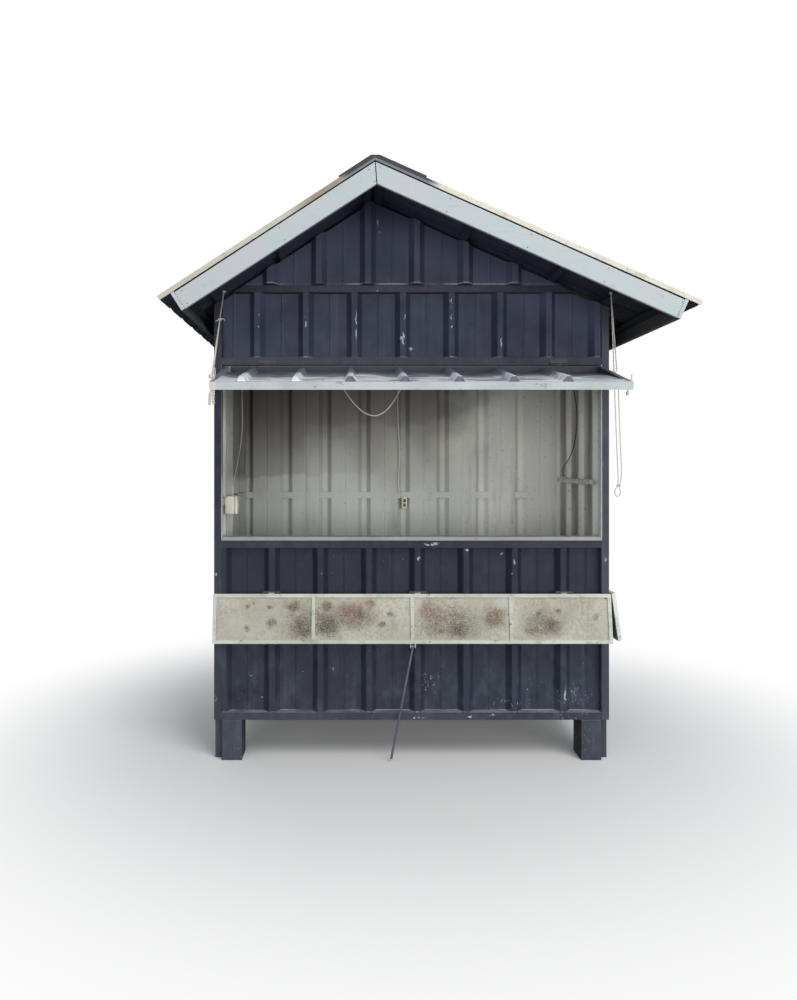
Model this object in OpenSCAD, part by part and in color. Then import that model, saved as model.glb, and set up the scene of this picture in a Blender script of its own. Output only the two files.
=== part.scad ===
// Street food kiosk: a raised cabin of square steel tube with ribbed sheet walls set inside the
// frame, a serving opening under a small hinged awning on ropes, fold-down ledges on the front
// and on the right side, and a low gable roof whose ridge stands left of the middle.
// Millimetres, +Z up, front towards -Y. The origin is on the ground under the middle of the roof.
// Every piece is drawn about the middle of the cabin and then moved by placed().

/* [Cabin frame] */
// Width over the corner posts
body_w = 2040; // [1700:20:2500]
// Depth over the corner posts
body_d = 1000; // [800:20:1300]
// Side of the square frame tube
tube = 40; // [34:2:50]
// Height of the feet under the frame
leg_h = 208; // [120:4:300]
// Width of a foot along each wall
leg_w = 104; // [80:4:160]
// Height of the counter edge above the ground
sill_h = 1154; // [1050:2:1250]
// Thickness of the counter edge board
sill_cap_t = 20; // [12:2:30]
// How far the counter edge board stands out of the frame
sill_cap_out = 5; // [2:1:20]
// Width of the counter edge board, front to back
sill_cap_w = 70; // [50:5:120]
// Height of the underside of the head rail
opening_top = 2040; // [1900:10:2100]
// Height of the underside of the tie above the upper sheet
tie_h = 2416; // [2380:2:2440]
// Height of the underside of the middle rails
mid_rail_h = 1313; // [1250:1:1500]
// Thickness of the floor plate
floor_t = 4; // [3:1:8]

/* [Ribbed sheet] */
// Distance between ribs
rib_pitch = 251; // [200:1:300]
// Width of a rib at its foot
rib_base = 80; // [60:2:100]
// Width of a rib along its crest
rib_crest = 30; // [20:2:40]
// Thickness of the sheet
sheet_t = 2; // [1.5:0.5:3]
// Height of the small swage between two ribs
swage_h = 3; // [1:0.5:4]
// Width of the small swage
swage_w = 16; // [10:2:24]
// Middle rib of the lower front sheet, from the cabin's middle
lower_phase = 31; // [-100:1:100]
// Middle rib of the upper front sheet
upper_phase = -44; // [-100:1:100]
// Middle rib of the gable sheets
gable_phase = 25; // [-100:1:100]
// Middle rib of the rear sheets
rear_phase = 25; // [-100:1:100]
// Middle rib of the side sheets
side_phase = -101; // [-125:1:125]

/* [Roof] */
// Height of the ridge line above the ties, under the roof sheets
ridge_rise = 449; // [440:1:500]
// Ridge line, from the cabin's middle
ridge_x = -205; // [-300:1:0]
// Slope of the left side in degrees
pitch_left = 33; // [30:0.5:34]
// Slope of the right side in degrees
pitch_right = 24; // [22:0.5:25]
// How far the left eave stands out from the wall, down the slope
eave_left = 134; // [100:1:250]
// How far the right eave stands out from the wall, down the slope
eave_right = 214; // [120:1:350]
// How far the roof stands out over the front and the rear wall
overhang = 500; // [490:5:600]
// Height of the roof sheet with its ribs
roof_t = 18; // [14:1:30]
// How far the roof sheets run past the eave boards
drip = 57; // [30:1:80]
// Height of the barge and eave boards
board_w = 88; // [75:1:120]
// How far the barge boards lie below the roof sheets
board_top = 10; // [6:1:15]
// Thickness of the barge and eave boards
board_t = 18; // [12:1:25]
// Height of a purlin
purlin_h = 20; // [15:1:30]
// Width of a purlin
purlin_w = 40; // [30:2:60]
// Height of a rafter
rafter_h = 40; // [30:2:50]
// Slope length of the left wing of the ridge cap
cap_left = 180; // [120:5:250]
// Slope length of the right wing of the ridge cap
cap_right = 245; // [150:5:300]
// Height of the hems at the front and rear end of the ridge cap
cap_hem = 8; // [4:1:12]
// How far the verge strips reach below the roof sheets
verge_lap = 4; // [3:1:5]

/* [Awning] */
// Width of the awning
awning_w = 1934; // [1500:2:1940]
// Middle of the awning, from the cabin's middle
awning_x = 7; // [-10:1:10]
// Slope length of the awning
awning_l = 485; // [350:5:486]
// Fall of the awning towards the street in degrees
awning_tilt = 16; // [8:0.5:20]
// Height of the awning bars
awning_bar_h = 36; // [36:1:46]
// Width of the awning bars
awning_bar = 22; // [16:1:30]
// Distance between the ribs of the awning sheet
awning_pitch = 245; // [200:5:300]
// Middle rib of the awning sheet, from the cabin's middle
awning_phase = -78; // [-120:1:120]
// Height of a rib of the awning sheet
awning_rib_h = 26; // [20:1:32]
// Width of such a rib at its foot
awning_rib_base = 54; // [44:2:70]
// Width of such a rib along its crest
awning_rib_crest = 20; // [14:2:28]
// Distance between the awning's hinges
awning_hinge_span = 1506; // [900:2:1700]

/* [Ledges] */
// Height of the front ledge's hinge pins above the ground
ledge_pin_h = 869; // [700:1:950]
// Height of a hanging ledge
ledge_h = 250; // [200:5:300]
// Length of the front ledge
front_ledge_l = 2036; // [1600:2:2036]
// Length of the side ledge
side_ledge_l = 996; // [700:2:996]
// Width of the ledge frame bars
ledge_bar = 18; // [14:1:26]
// Thickness of the ledge frame bars
ledge_t = 20; // [14:1:26]
// Thickness of the boards in the ledges
board_panel_t = 6; // [4:1:9]
// How far a hanging ledge leans outwards, in degrees
ledge_lean = 8; // [0:1:15]
// Number of bays in the front ledge
front_bays = 4; // [2:1:6]
// Number of bays in the side ledge
side_bays = 2; // [1:1:4]

/* [Hinges] */
// Length of a hinge
hinge_l = 90; // [60:5:120]
// Radius of a hinge knuckle
knuckle_r = 6; // [5:0.5:7]
// Radius of a hinge pin
pin_r = 3; // [2:0.5:3.5]
// Thickness of a hinge leaf
leaf_t = 3; // [2:0.5:3]
// Width of a hinge leaf
leaf_w = 26; // [20:1:30]
// Distance from a wall to the middle of its hinge pins
hinge_off = 10; // [10:0.5:14]

/* [Inside] */
// Height of the worktop
worktop_h = 1040; // [900:5:1060]
// Depth of the worktop
worktop_d = 400; // [300:10:500]
// Thickness of the worktop
worktop_t = 20; // [12:2:30]
// Diameter of the wall lamp's tube
lamp_d = 28; // [20:1:36]
// Length of the wall lamp's tube
lamp_l = 640; // [400:10:700]
// Height of the wall lamp
lamp_h = 1434; // [1380:2:1600]

/* [Prop and ropes] */
// Sideways place of the prop rod's foot, from the cabin's middle
prop_foot_x = -106; // [-200:1:200]
// Height of the prop rod's foot above the ground
prop_foot_h = 14; // [10:1:60]
// Diameter of the prop rod under the front ledge
prop_d = 12; // [8:1:16]
// Diameter of the awning ropes
rope_d = 6; // [4:1:8]
// Distance from the awning's pins to the right rope, along the side bar
right_tie = 194; // [120:2:400]

/* [Hidden] */

navy = [0.22, 0.23, 0.29];
pale_blue = [0.76, 0.81, 0.82];
cream = [0.80, 0.79, 0.70];
inner_grey = [0.62, 0.62, 0.59];
silver = [0.74, 0.76, 0.76];
rope_white = [0.80, 0.78, 0.72];

// Small distances that keep pieces from sharing a face where the real ones have a gap
board_gap = 4;
pin_gap = 0.4;
edge_gap = 0.5;
seat_gap = 0.02;

rib_h = tube;
half_w = body_w / 2;
half_d = body_d / 2;
inner_w = half_w - tube;
inner_d = half_d - tube;
rail_top = leg_h + tube;
sill_top = sill_h - sill_cap_t;
sill_bottom = sill_top - tube;
head_top = opening_top + tube;
tie_top = tie_h + tube;
mid_rail_top = mid_rail_h + tube;
roof_d = half_d + overhang;
ridge_h = tie_top + ridge_rise;
slope_left = (half_w + ridge_x) / cos(pitch_left) + eave_left;
slope_right = (half_w - ridge_x) / cos(pitch_right) + eave_right;
// Depth of what carries the purlins
under_purlin = purlin_h + seat_gap;

// Lines parallel to the roof. A depth t counts down from the underside of the roof sheets,
// square to the slope, and a length s counts from the ridge along the slope.
slope_sum = tan(pitch_left) + tan(pitch_right);
slope_gap = 1 / cos(pitch_left) - 1 / cos(pitch_right);
function ridge_point(t) =
    let (dx = t * slope_gap / slope_sum)
    [ridge_x + dx, ridge_h - t / cos(pitch_right) - tan(pitch_right) * dx];
function left_point(s, t) = [
    ridge_x - s * cos(pitch_left) + t * sin(pitch_left),
    ridge_h - s * sin(pitch_left) - t * cos(pitch_left)
];
function right_point(s, t) = [
    ridge_x + s * cos(pitch_right) - t * sin(pitch_right),
    ridge_h - s * sin(pitch_right) - t * cos(pitch_right)
];
function left_line(x, t) = ridge_h - t / cos(pitch_left) - tan(pitch_left) * (ridge_x - x);
function right_line(x, t) = ridge_h - t / cos(pitch_right) - tan(pitch_right) * (x - ridge_x);
function roof_line(x, t) = min(left_line(x, t), right_line(x, t));
function left_reach(z, t) = ridge_x - (ridge_h - t / cos(pitch_left) - z) / tan(pitch_left);
function right_reach(z, t) = ridge_x + (ridge_h - t / cos(pitch_right) - z) / tan(pitch_right);

// The roof sheets reach farthest, so they set the middle of the whole outline
roof_left_x = left_point(slope_left + drip, -roof_t)[0];
roof_right_x = right_point(slope_right + drip, -roof_t)[0];
module placed() {
    translate([-(roof_left_x + roof_right_x) / 2, 0, 0]) children();
}

// Stands a drawing of the front view up, from y0 to y0 + depth
module front_view(y0, depth) {
    translate([0, y0 + depth, 0]) rotate([90, 0, 0]) linear_extrude(height = depth) children();
}

// Outline in the front view from a level up to the roof, between two upright lines
module under_roof(x0, x1, z0, t) {
    peak = ridge_point(t);
    if (x0 < peak[0] && x1 > peak[0])
        polygon([[x0, z0], [x1, z0], [x1, roof_line(x1, t)], peak, [x0, roof_line(x0, t)]]);
    else
        polygon([[x0, z0], [x1, z0], [x1, roof_line(x1, t)], [x0, roof_line(x0, t)]]);
}

// Outline in the front view of a roof layer between two depths
module roof_layer(s_left, s_right, t0, t1) {
    polygon([
        left_point(s_left, t0), ridge_point(t0), right_point(s_right, t0),
        right_point(s_right, t1), ridge_point(t1), left_point(s_left, t1)
    ]);
}

// Height of the ribbed profile at a distance u, for a sheet with a rib at first. A rib is given
// as half its foot and half its crest.
wall_rib = [rib_base / 2, rib_crest / 2];
function from_rib(u, first, pitch) = abs((u - first) / pitch - round((u - first) / pitch)) * pitch;
function rib_at(d, h, rib) =
    d <= rib[1] ? h : d >= rib[0] ? 0 : h * (rib[0] - d) / (rib[0] - rib[1]);
function swage_at(d, pitch) = max(0, swage_h * (1 - (pitch / 2 - d) / (swage_w / 2)));
function profile_at(u, first, pitch, h, rib) =
    let (d = from_rib(u, first, pitch)) max(rib_at(d, h, rib), swage_at(d, pitch));
function bends(first, pitch, from, to, rib) = [
    for (i = [floor((from - first) / pitch) - 1 : ceil((to - first) / pitch) + 1])
        for (k = [
            -rib[0], -rib[1], rib[1], rib[0],
            pitch / 2 - swage_w / 2, pitch / 2, pitch / 2 + swage_w / 2
        ])
            let (u = first + i * pitch + k) if (u > from + 0.5 && u < to - 0.5) u
];

// Cross-section of a ribbed sheet from u = from to u = to, flat side at 0, ribs up to h
module sheet_section(from, to, first, h, pitch = rib_pitch, rib = wall_rib) {
    stations = concat([from], bends(first, pitch, from, to, rib), [to]);
    rise = h - sheet_t;
    outer = [for (u = stations) [u, sheet_t + profile_at(u, first, pitch, rise, rib)]];
    inner = [
        for (i = [len(stations) - 1 : -1 : 0])
            [stations[i], profile_at(stations[i], first, pitch, rise, rib)]
    ];
    polygon(concat(inner, outer));
}

// Ribbed sheet standing in the front or rear wall, ribs towards -Y, flat side at y = 0
module standing_sheet(width, z0, z1, first, h = rib_h) {
    translate([0, 0, z0]) linear_extrude(height = z1 - z0)
        mirror([0, 1, 0]) sheet_section(-width / 2, width / 2, first, h);
}

// Foot: a closed box of plate under two rails, notched at the cabin's corner
module foot() {
    color(navy) linear_extrude(height = leg_h) polygon([
        [tube, 0], [tube + leg_w, 0], [tube + leg_w, tube + leg_w],
        [0, tube + leg_w], [0, tube], [tube, tube]
    ]);
}
module leg_front_left() { placed() translate([-half_w, -half_d, 0]) foot(); }
module leg_front_right() { placed() translate([half_w, -half_d, 0]) mirror([1, 0, 0]) foot(); }
module leg_rear_left() { placed() translate([-half_w, half_d, 0]) mirror([0, 1, 0]) foot(); }
module leg_rear_right() {
    placed() translate([half_w, half_d, 0]) mirror([1, 0, 0]) mirror([0, 1, 0]) foot();
}

// Front and rear rail with two joists under the floor, and a rail on either side
module base_rails() {
    color(navy) placed() translate([0, 0, leg_h]) {
        for (y = [-half_d, inner_d]) translate([-inner_w, y, 0]) cube([2 * inner_w, tube, tube]);
        for (x = [-inner_w / 3, inner_w / 3])
            translate([x - tube / 2, -inner_d, 0]) cube([tube, 2 * inner_d, tube]);
    }
}
module side_rails() {
    color(navy) placed() for (x = [-half_w, inner_w])
        translate([x, -inner_d, leg_h]) cube([tube, 2 * inner_d, tube]);
}
module floor_plate() {
    color(inner_grey) placed() translate([-inner_w, -inner_d, rail_top])
        cube([2 * inner_w, 2 * inner_d, floor_t]);
}

// Corner post, cut to the slope of the purlins on top
module post(x0, y0) {
    color(navy) placed() front_view(y0, tube) under_roof(x0, x0 + tube, leg_h, under_purlin);
}
module post_front_left() { post(-half_w, -half_d); }
module post_front_right() { post(inner_w, -half_d); }
module post_rear_left() { post(-half_w, inner_d); }
module post_rear_right() { post(inner_w, inner_d); }

// Front wall, crests level with the outside of the frame and pans level with its inside
module front_lower_sheet() {
    color(navy) placed() translate([0, -inner_d, 0])
        standing_sheet(2 * inner_w, rail_top, sill_bottom, lower_phase);
}
module sill_rail() {
    color(navy) placed() translate([-inner_w, -half_d, sill_bottom]) cube([2 * inner_w, tube, tube]);
}
module sill_cap() {
    color(pale_blue) placed() translate([-inner_w, -half_d - sill_cap_out, sill_top])
        cube([2 * inner_w, sill_cap_w, sill_cap_t]);
}
module head_rail() {
    color(navy) placed() translate([-inner_w, -half_d, opening_top]) cube([2 * inner_w, tube, tube]);
}
module front_upper_sheet() {
    color(navy) placed() intersection() {
        translate([0, -inner_d, 0]) standing_sheet(2 * inner_w, head_top, tie_h, upper_phase);
        front_view(-half_d - tube, 3 * tube)
            under_roof(-inner_w, inner_w, head_top - tube, under_purlin);
    }
}
module tie() {
    polygon([
        [left_reach(tie_h, under_purlin), tie_h], [right_reach(tie_h, under_purlin), tie_h],
        [right_reach(tie_top, under_purlin), tie_top], [left_reach(tie_top, under_purlin), tie_top]
    ]);
}
module front_tie() { color(navy) placed() front_view(-half_d, tube) tie(); }
module rear_tie() { color(navy) placed() front_view(inner_d, tube) tie(); }

// Gable sheet, lapped over the face of the tie with its ribs standing out
gable_lap = 6;
gable_bottom = tie_top - gable_lap;
gable_depth = purlin_h + 2;
module gable_sheet() {
    intersection() {
        translate([0, -half_d, 0]) standing_sheet(2 * half_w, gable_bottom, ridge_h, gable_phase);
        front_view(-half_d - 2 * tube, 3 * tube) polygon([
            [left_reach(gable_bottom, gable_depth), gable_bottom],
            [right_reach(gable_bottom, gable_depth), gable_bottom],
            ridge_point(gable_depth)
        ]);
    }
}
module front_gable_sheet() { color(navy) placed() gable_sheet(); }
module rear_gable_sheet() { color(navy) placed() mirror([0, 1, 0]) gable_sheet(); }

// Rear wall, two sheets with the middle rail between them
module rear_lower_sheet() {
    color(inner_grey) placed() mirror([0, 1, 0]) translate([0, -inner_d, 0])
        standing_sheet(2 * inner_w, rail_top, mid_rail_h, rear_phase);
}
module rear_mid_rail() {
    color(inner_grey) placed() translate([-inner_w, inner_d, mid_rail_h])
        cube([2 * inner_w, tube, tube]);
}
module rear_upper_sheet() {
    color(inner_grey) placed() intersection() {
        mirror([0, 1, 0]) translate([0, -inner_d, 0])
            standing_sheet(2 * inner_w, mid_rail_top, tie_h, rear_phase);
        front_view(inner_d - tube, 3 * tube) under_roof(-inner_w, inner_w, mid_rail_h, under_purlin);
    }
}

// Side walls, pans level with the outside of the frame and ribs inwards
module side_sheet(z0, z1) {
    translate([0, 0, z0]) rotate([0, 0, -90]) linear_extrude(height = z1 - z0)
        translate([0, -half_w]) sheet_section(-inner_d, inner_d, -side_phase, rib_h);
}
left_plate_bottom = roof_line(-half_w, under_purlin) - tube;
right_plate_bottom = roof_line(half_w, under_purlin) - tube;
module left_lower_sheet() { color(inner_grey) placed() side_sheet(rail_top, mid_rail_h); }
module left_upper_sheet() { color(inner_grey) placed() side_sheet(mid_rail_top, left_plate_bottom); }
module left_mid_rail() {
    color(inner_grey) placed() translate([-half_w, -inner_d, mid_rail_h])
        cube([tube, 2 * inner_d, tube]);
}
module right_sheet() {
    color(inner_grey) placed() mirror([1, 0, 0]) side_sheet(rail_top, right_plate_bottom);
}

// Plates along the tops of the side walls, between the posts
module top_plates() {
    color(navy) placed() front_view(-inner_d, 2 * inner_d) {
        under_roof(-half_w, -inner_w, left_plate_bottom, under_purlin);
        under_roof(inner_w, half_w, right_plate_bottom, under_purlin);
    }
}

// Rafters inside the front and the rear wall, cut against the top plates
module rafter_pair() {
    intersection() {
        roof_layer(slope_left, slope_right, under_purlin, purlin_h + rafter_h);
        translate([-inner_w, 0]) square([2 * inner_w, ridge_h]);
    }
}
module rafters() {
    color(navy) placed() for (y = [-inner_d, inner_d - tube]) front_view(y, tube) rafter_pair();
}

// Purlins from barge board to barge board, given by their middles along each slope: one by the
// ridge, one or two between, one over the wall and one behind the eave board
purlin_half = purlin_w / 2;
ridge_clear = 20;
eave_purlin = board_t + seat_gap + purlin_half;
left_purlins = [
    ridge_clear + purlin_half, slope_left / 2,
    slope_left - eave_left - purlin_half / cos(pitch_left), slope_left - eave_purlin
];
right_purlins = [
    ridge_clear + purlin_half, slope_right / 3, slope_right * 2 / 3 - purlin_half,
    slope_right - eave_right - purlin_half / cos(pitch_right), slope_right - eave_purlin
];
module purlins() {
    color(navy) placed() front_view(-roof_d + board_t, 2 * (roof_d - board_t)) {
        for (s = left_purlins) polygon([
            left_point(s - purlin_half, 0), left_point(s + purlin_half, 0),
            left_point(s + purlin_half, purlin_h), left_point(s - purlin_half, purlin_h)
        ]);
        for (s = right_purlins) polygon([
            right_point(s - purlin_half, 0), right_point(s + purlin_half, 0),
            right_point(s + purlin_half, purlin_h), right_point(s - purlin_half, purlin_h)
        ]);
    }
}

// Roof sheets with their ribs down the slope, drawn on the level and turned about the ridge
module sloping_sheet(slope, pitch) {
    rotate([0, pitch, 0]) rotate([90, 0, 90]) linear_extrude(height = slope + drip)
        translate([0, seat_gap]) sheet_section(-roof_d, roof_d, 0, roof_t);
}
module roof_sheet_left() {
    color(inner_grey) placed() translate([ridge_x, 0, ridge_h]) mirror([1, 0, 0])
        sloping_sheet(slope_left, pitch_left);
}
module roof_sheet_right() {
    color(inner_grey) placed() translate([ridge_x, 0, ridge_h]) sloping_sheet(slope_right, pitch_right);
}

// Folded ridge cap on the ribs, level over the ridge, with a hem along its front and rear end,
// and strips that close the sheet ends along front and rear
verge_t = 3;
hem_t = 6;
cap_base = -roof_t - 2 * seat_gap;
cap_under = ridge_h + roof_t * cos(min(pitch_left, pitch_right)) + edge_gap;
cap_level = cap_under + sheet_t;
module cap_layer(top) {
    polygon([
        left_point(cap_left, cap_base),
        [left_reach(cap_under, cap_base), cap_under], [right_reach(cap_under, cap_base), cap_under],
        right_point(cap_right, cap_base), right_point(cap_right, top),
        [right_reach(cap_level, top), cap_level], [left_reach(cap_level, top), cap_level],
        left_point(cap_left, top)
    ]);
}
module ridge_cap() {
    cap_d = roof_d + verge_t;
    color(navy) placed() {
        front_view(-cap_d, 2 * cap_d) cap_layer(-roof_t - sheet_t);
        for (y = [-cap_d, cap_d - hem_t]) front_view(y, hem_t) cap_layer(-roof_t - cap_hem);
    }
}
module verge_strips() {
    color(cream) placed() for (y = [-roof_d - verge_t, roof_d]) front_view(y, verge_t) intersection() {
        roof_layer(slope_left + drip, slope_right + drip, -roof_t, verge_lap);
        translate([roof_left_x, 0]) square([roof_right_x - roof_left_x, cap_under - edge_gap]);
    }
}

// Two boards that meet at the ridge with a fine joint and end against the eave boards
board_end = board_top + board_w;
module barge_boards() {
    top = ridge_point(board_top);
    bottom = ridge_point(board_end);
    joint = [board_gap / 2, 0];
    s_left = slope_left - board_t - seat_gap;
    s_right = slope_right - board_t - seat_gap;
    polygon([
        top - joint, left_point(s_left, board_top), left_point(s_left, board_end), bottom - joint
    ]);
    polygon([
        top + joint, bottom + joint, right_point(s_right, board_end), right_point(s_right, board_top)
    ]);
}
module barge_front() { color(pale_blue) placed() front_view(-roof_d, board_t) barge_boards(); }
module barge_rear() { color(pale_blue) placed() front_view(roof_d - board_t, board_t) barge_boards(); }
module eave_boards() {
    color(pale_blue) placed() front_view(-roof_d, 2 * roof_d) {
        polygon([
            left_point(slope_left - board_t, 0), left_point(slope_left, 0),
            left_point(slope_left, board_end), left_point(slope_left - board_t, board_end)
        ]);
        polygon([
            right_point(slope_right - board_t, 0), right_point(slope_right, 0),
            right_point(slope_right, board_end), right_point(slope_right - board_t, board_end)
        ]);
    }
}

// Worktop behind the counter edge, on three triangular brackets between the ribs
bracket_w = 30;
bracket_bar = 26;
bracket_short = 100;
bracket_drop = 260;
bracket_reach = worktop_d - bracket_short;
bracket_slant = norm([bracket_reach, bracket_drop]);
module worktop() {
    color(inner_grey) placed() translate([-inner_w, -inner_d, worktop_h - worktop_t])
        cube([2 * inner_w, worktop_d, worktop_t]);
}
module bracket_outline(inset) {
    polygon([
        [inset, -inset],
        [bracket_reach - inset * (bracket_slant + bracket_reach) / bracket_drop, -inset],
        [inset, inset * (bracket_slant + bracket_drop) / bracket_reach - bracket_drop]
    ]);
}
module worktop_brackets() {
    color(navy) placed() for (i = [-3.5, -0.5, 2.5])
        translate([lower_phase + i * rib_pitch - bracket_w / 2, -inner_d, worktop_h - worktop_t])
            rotate([90, 0, 90]) linear_extrude(height = bracket_w) difference() {
                bracket_outline(0);
                bracket_outline(bracket_bar);
            }
}

// Switch box on the left wall, socket on the rear wall, tube lamp on the right wall
box_size = [70, 70, 95];
box_y = 50 - inner_d;
box_z = mid_rail_h - 48;
module switch_box() {
    color(cream) placed() translate([-inner_w, box_y, box_z]) cube(box_size);
}
socket_size = [34, 28, 77];
socket_x = 12;
socket_z = mid_rail_h + 10 - socket_size[2];
module wall_socket() {
    color(cream) placed() translate([socket_x, inner_d - socket_size[1], socket_z]) cube(socket_size);
}
lamp_front = 35 - inner_d;
lamp_out = 26;
lamp_x = inner_w - lamp_out;
lamp_clip = 20;
lamp_gland = [14, 14, 19];
lamp_gland_y = lamp_front + lamp_l - 94;
module wall_lamp() {
    color(silver) placed() {
        translate([lamp_x, lamp_front, lamp_h]) rotate([-90, 0, 0])
            cylinder(h = lamp_l, d = lamp_d, $fn = 32);
        for (y = [side_phase - rib_pitch, side_phase + rib_pitch])
            translate([lamp_x, y - lamp_clip / 2, lamp_h - lamp_d / 4])
                cube([lamp_out, lamp_clip, lamp_d / 2]);
        translate([lamp_x - lamp_gland[0] / 2, lamp_gland_y - lamp_gland[1] / 2, lamp_h]) cube(lamp_gland);
    }
}

// Butt hinge about a pin along X. The wall stands at y = hinge_off, and the fixed leaf lies on it
// above the pin or hidden below it.
knuckle_l = hinge_l / 3;
module hinge_fixed(above) {
    translate([-hinge_l / 2, 0, 0]) rotate([0, 90, 0]) cylinder(h = hinge_l, r = pin_r, $fn = 24);
    for (x = [-hinge_l / 2, knuckle_l / 2 + pin_gap]) translate([x, 0, 0]) {
        rotate([0, 90, 0]) cylinder(h = knuckle_l - pin_gap, r = knuckle_r, $fn = 32);
        cube([knuckle_l - pin_gap, hinge_off - leaf_t / 2, leaf_t]);
    }
    translate([-hinge_l / 2, hinge_off - leaf_t, above ? -knuckle_r : -leaf_w])
        cube([hinge_l, leaf_t, leaf_w + knuckle_r]);
}
leaf_drop = 2;
frame_drop = knuckle_r + leaf_drop;
module hinge_moving() {
    web = knuckle_l - 2 * pin_gap;
    rotate([0, 90, 0]) difference() {
        translate([0, 0, -web / 2]) cylinder(h = web, r = knuckle_r, $fn = 32);
        translate([0, 0, -hinge_l / 2]) cylinder(h = hinge_l, r = pin_r + pin_gap, $fn = 24);
    }
    translate([-web / 2, -leaf_t / 2, -frame_drop - 1])
        cube([web, leaf_t, frame_drop + 1 - pin_r - pin_gap]);
    translate([-hinge_l / 2, -leaf_t / 2, -leaf_w]) cube([hinge_l, leaf_t, leaf_w - frame_drop]);
}

// Awning: pins under the head rail, drawn level about the pin line with the street at -Y
awning_pin_y = -half_d - hinge_off;
awning_pin_z = opening_top + 3;
awning_hinge_x = [awning_x - awning_hinge_span / 2, awning_x + awning_hinge_span / 2];
module awning_space() {
    placed() translate([awning_x, awning_pin_y, awning_pin_z]) rotate([awning_tilt, 0, 0]) children();
}
module awning_hinges() {
    color(navy) placed() for (x = awning_hinge_x)
        translate([x, awning_pin_y, awning_pin_z]) hinge_fixed(true);
}
awning_back = -leaf_t / 2;
awning_low = -frame_drop - awning_bar_h;
module awning_bar_x(y0) {
    translate([-awning_w / 2, y0, awning_low]) cube([awning_w, awning_bar, awning_bar_h]);
}
// The sheet lies low between the bars at the hinges and rests on top of the front bar. A strip on
// the rear bar carries it there.
rest_t = 4;
rest_w = 24;
rest_in = 3;
// Its slope to them is less than 1 in lean_run, so the rear ends of its ribs stay off the rear bar.
lean_run = 12;
sheet_low = awning_low + rest_t + 1;
sheet_back = awning_back - awning_bar - edge_gap - awning_rib_h / lean_run;
sheet_turn = atan((seat_gap - frame_drop - sheet_low) / (sheet_back + awning_l - awning_bar));
module awning_sheet_space() {
    awning_space() translate([0, sheet_back, sheet_low]) rotate([-sheet_turn, 0, 0]) children();
}
// A hook stands up at the right front corner, and a bolt with a knob hangs beside it
hook_d = 6;
hook_in = 8;
hook_up = 32;
bolt_in = 20;
bolt_down = 13;
knob_d = 12;
module awning_frame() {
    color(silver) awning_space() {
        awning_bar_x(-awning_l);
        awning_bar_x(awning_back - awning_bar);
        for (x = [-awning_w / 2, awning_w / 2 - awning_bar])
            translate([x, -awning_l + awning_bar, awning_low])
                cube([awning_bar, awning_l - 2 * awning_bar + awning_back, awning_bar_h]);
        for (x = awning_hinge_x) translate([x - awning_x, 0, 0]) hinge_moving();
        translate([awning_w / 2 - hook_in, -awning_l + awning_bar / 2, -frame_drop - awning_bar_h / 2])
            cylinder(h = awning_bar_h / 2 + hook_up, d = hook_d, $fn = 16);
        translate([awning_w / 2 - bolt_in, -awning_l + awning_bar / 2, awning_low]) {
            translate([0, 0, -bolt_down]) cylinder(h = bolt_down + awning_bar_h / 2, d = hook_d, $fn = 16);
            translate([0, 0, -bolt_down - knob_d]) cylinder(h = knob_d, d = knob_d, $fn = 24);
        }
    }
    color(silver) awning_sheet_space()
        translate([-awning_w / 2 + awning_bar / 2, -rest_w, -seat_gap - rest_t])
            cube([awning_w - awning_bar, rest_w + rest_in, rest_t]);
}
awning_lip = 4;
module awning_sheet() {
    reach = awning_w / 2 - awning_bar - edge_gap;
    color(silver) awning_sheet_space() rotate([90, 0, 0])
        linear_extrude(height = (sheet_back + awning_l - awning_lip) / cos(sheet_turn))
            sheet_section(
                -reach, reach, awning_phase - awning_x, awning_rib_h, awning_pitch,
                [awning_rib_base / 2, awning_rib_crest / 2]
            );
}

// Ledges: a bar frame with boards, drawn hanging about the pin line with the outside at -Y
ledge_pin_y = -half_d - hinge_off;
ledge_back = -leaf_t / 2;
front_hinge_x = [lower_phase - 3 * rib_pitch, lower_phase, lower_phase + 3 * rib_pitch];
side_hinge_y = [side_phase - 0.5 * rib_pitch, side_phase + 1.5 * rib_pitch];
module front_ledge_space() {
    placed() translate([0, ledge_pin_y, ledge_pin_h]) rotate([-ledge_lean, 0, 0]) children();
}
module side_ledge_place() {
    placed() rotate([0, 0, 90]) translate([0, -half_w - hinge_off, ledge_pin_h]) children();
}
module side_ledge_space() { side_ledge_place() rotate([-ledge_lean, 0, 0]) children(); }
module ledge_hinges() {
    color(navy) {
        placed() for (x = front_hinge_x) translate([x, ledge_pin_y, ledge_pin_h]) hinge_fixed(false);
        side_ledge_place() for (x = side_hinge_y) translate([x, 0, 0]) hinge_fixed(false);
    }
}
module ledge_frame(length, bays, hinge_places) {
    bay = (length - ledge_bar) / bays;
    for (z = [-frame_drop - ledge_bar, -frame_drop - ledge_h])
        translate([-length / 2, ledge_back - ledge_t, z]) cube([length, ledge_t, ledge_bar]);
    for (i = [0 : bays])
        translate([-length / 2 + i * bay, ledge_back - ledge_t, -frame_drop - ledge_h + ledge_bar])
            cube([ledge_bar, ledge_t, ledge_h - 2 * ledge_bar]);
    for (x = hinge_places) translate([x, 0, 0]) hinge_moving();
}
module ledge_boards(length, bays) {
    bay = (length - ledge_bar) / bays;
    for (i = [0 : bays - 1])
        translate([
            -length / 2 + i * bay + ledge_bar,
            ledge_back - ledge_t / 2 - board_panel_t / 2,
            -frame_drop - ledge_h + ledge_bar
        ])
            cube([bay - ledge_bar, board_panel_t, ledge_h - 2 * ledge_bar]);
}

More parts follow.
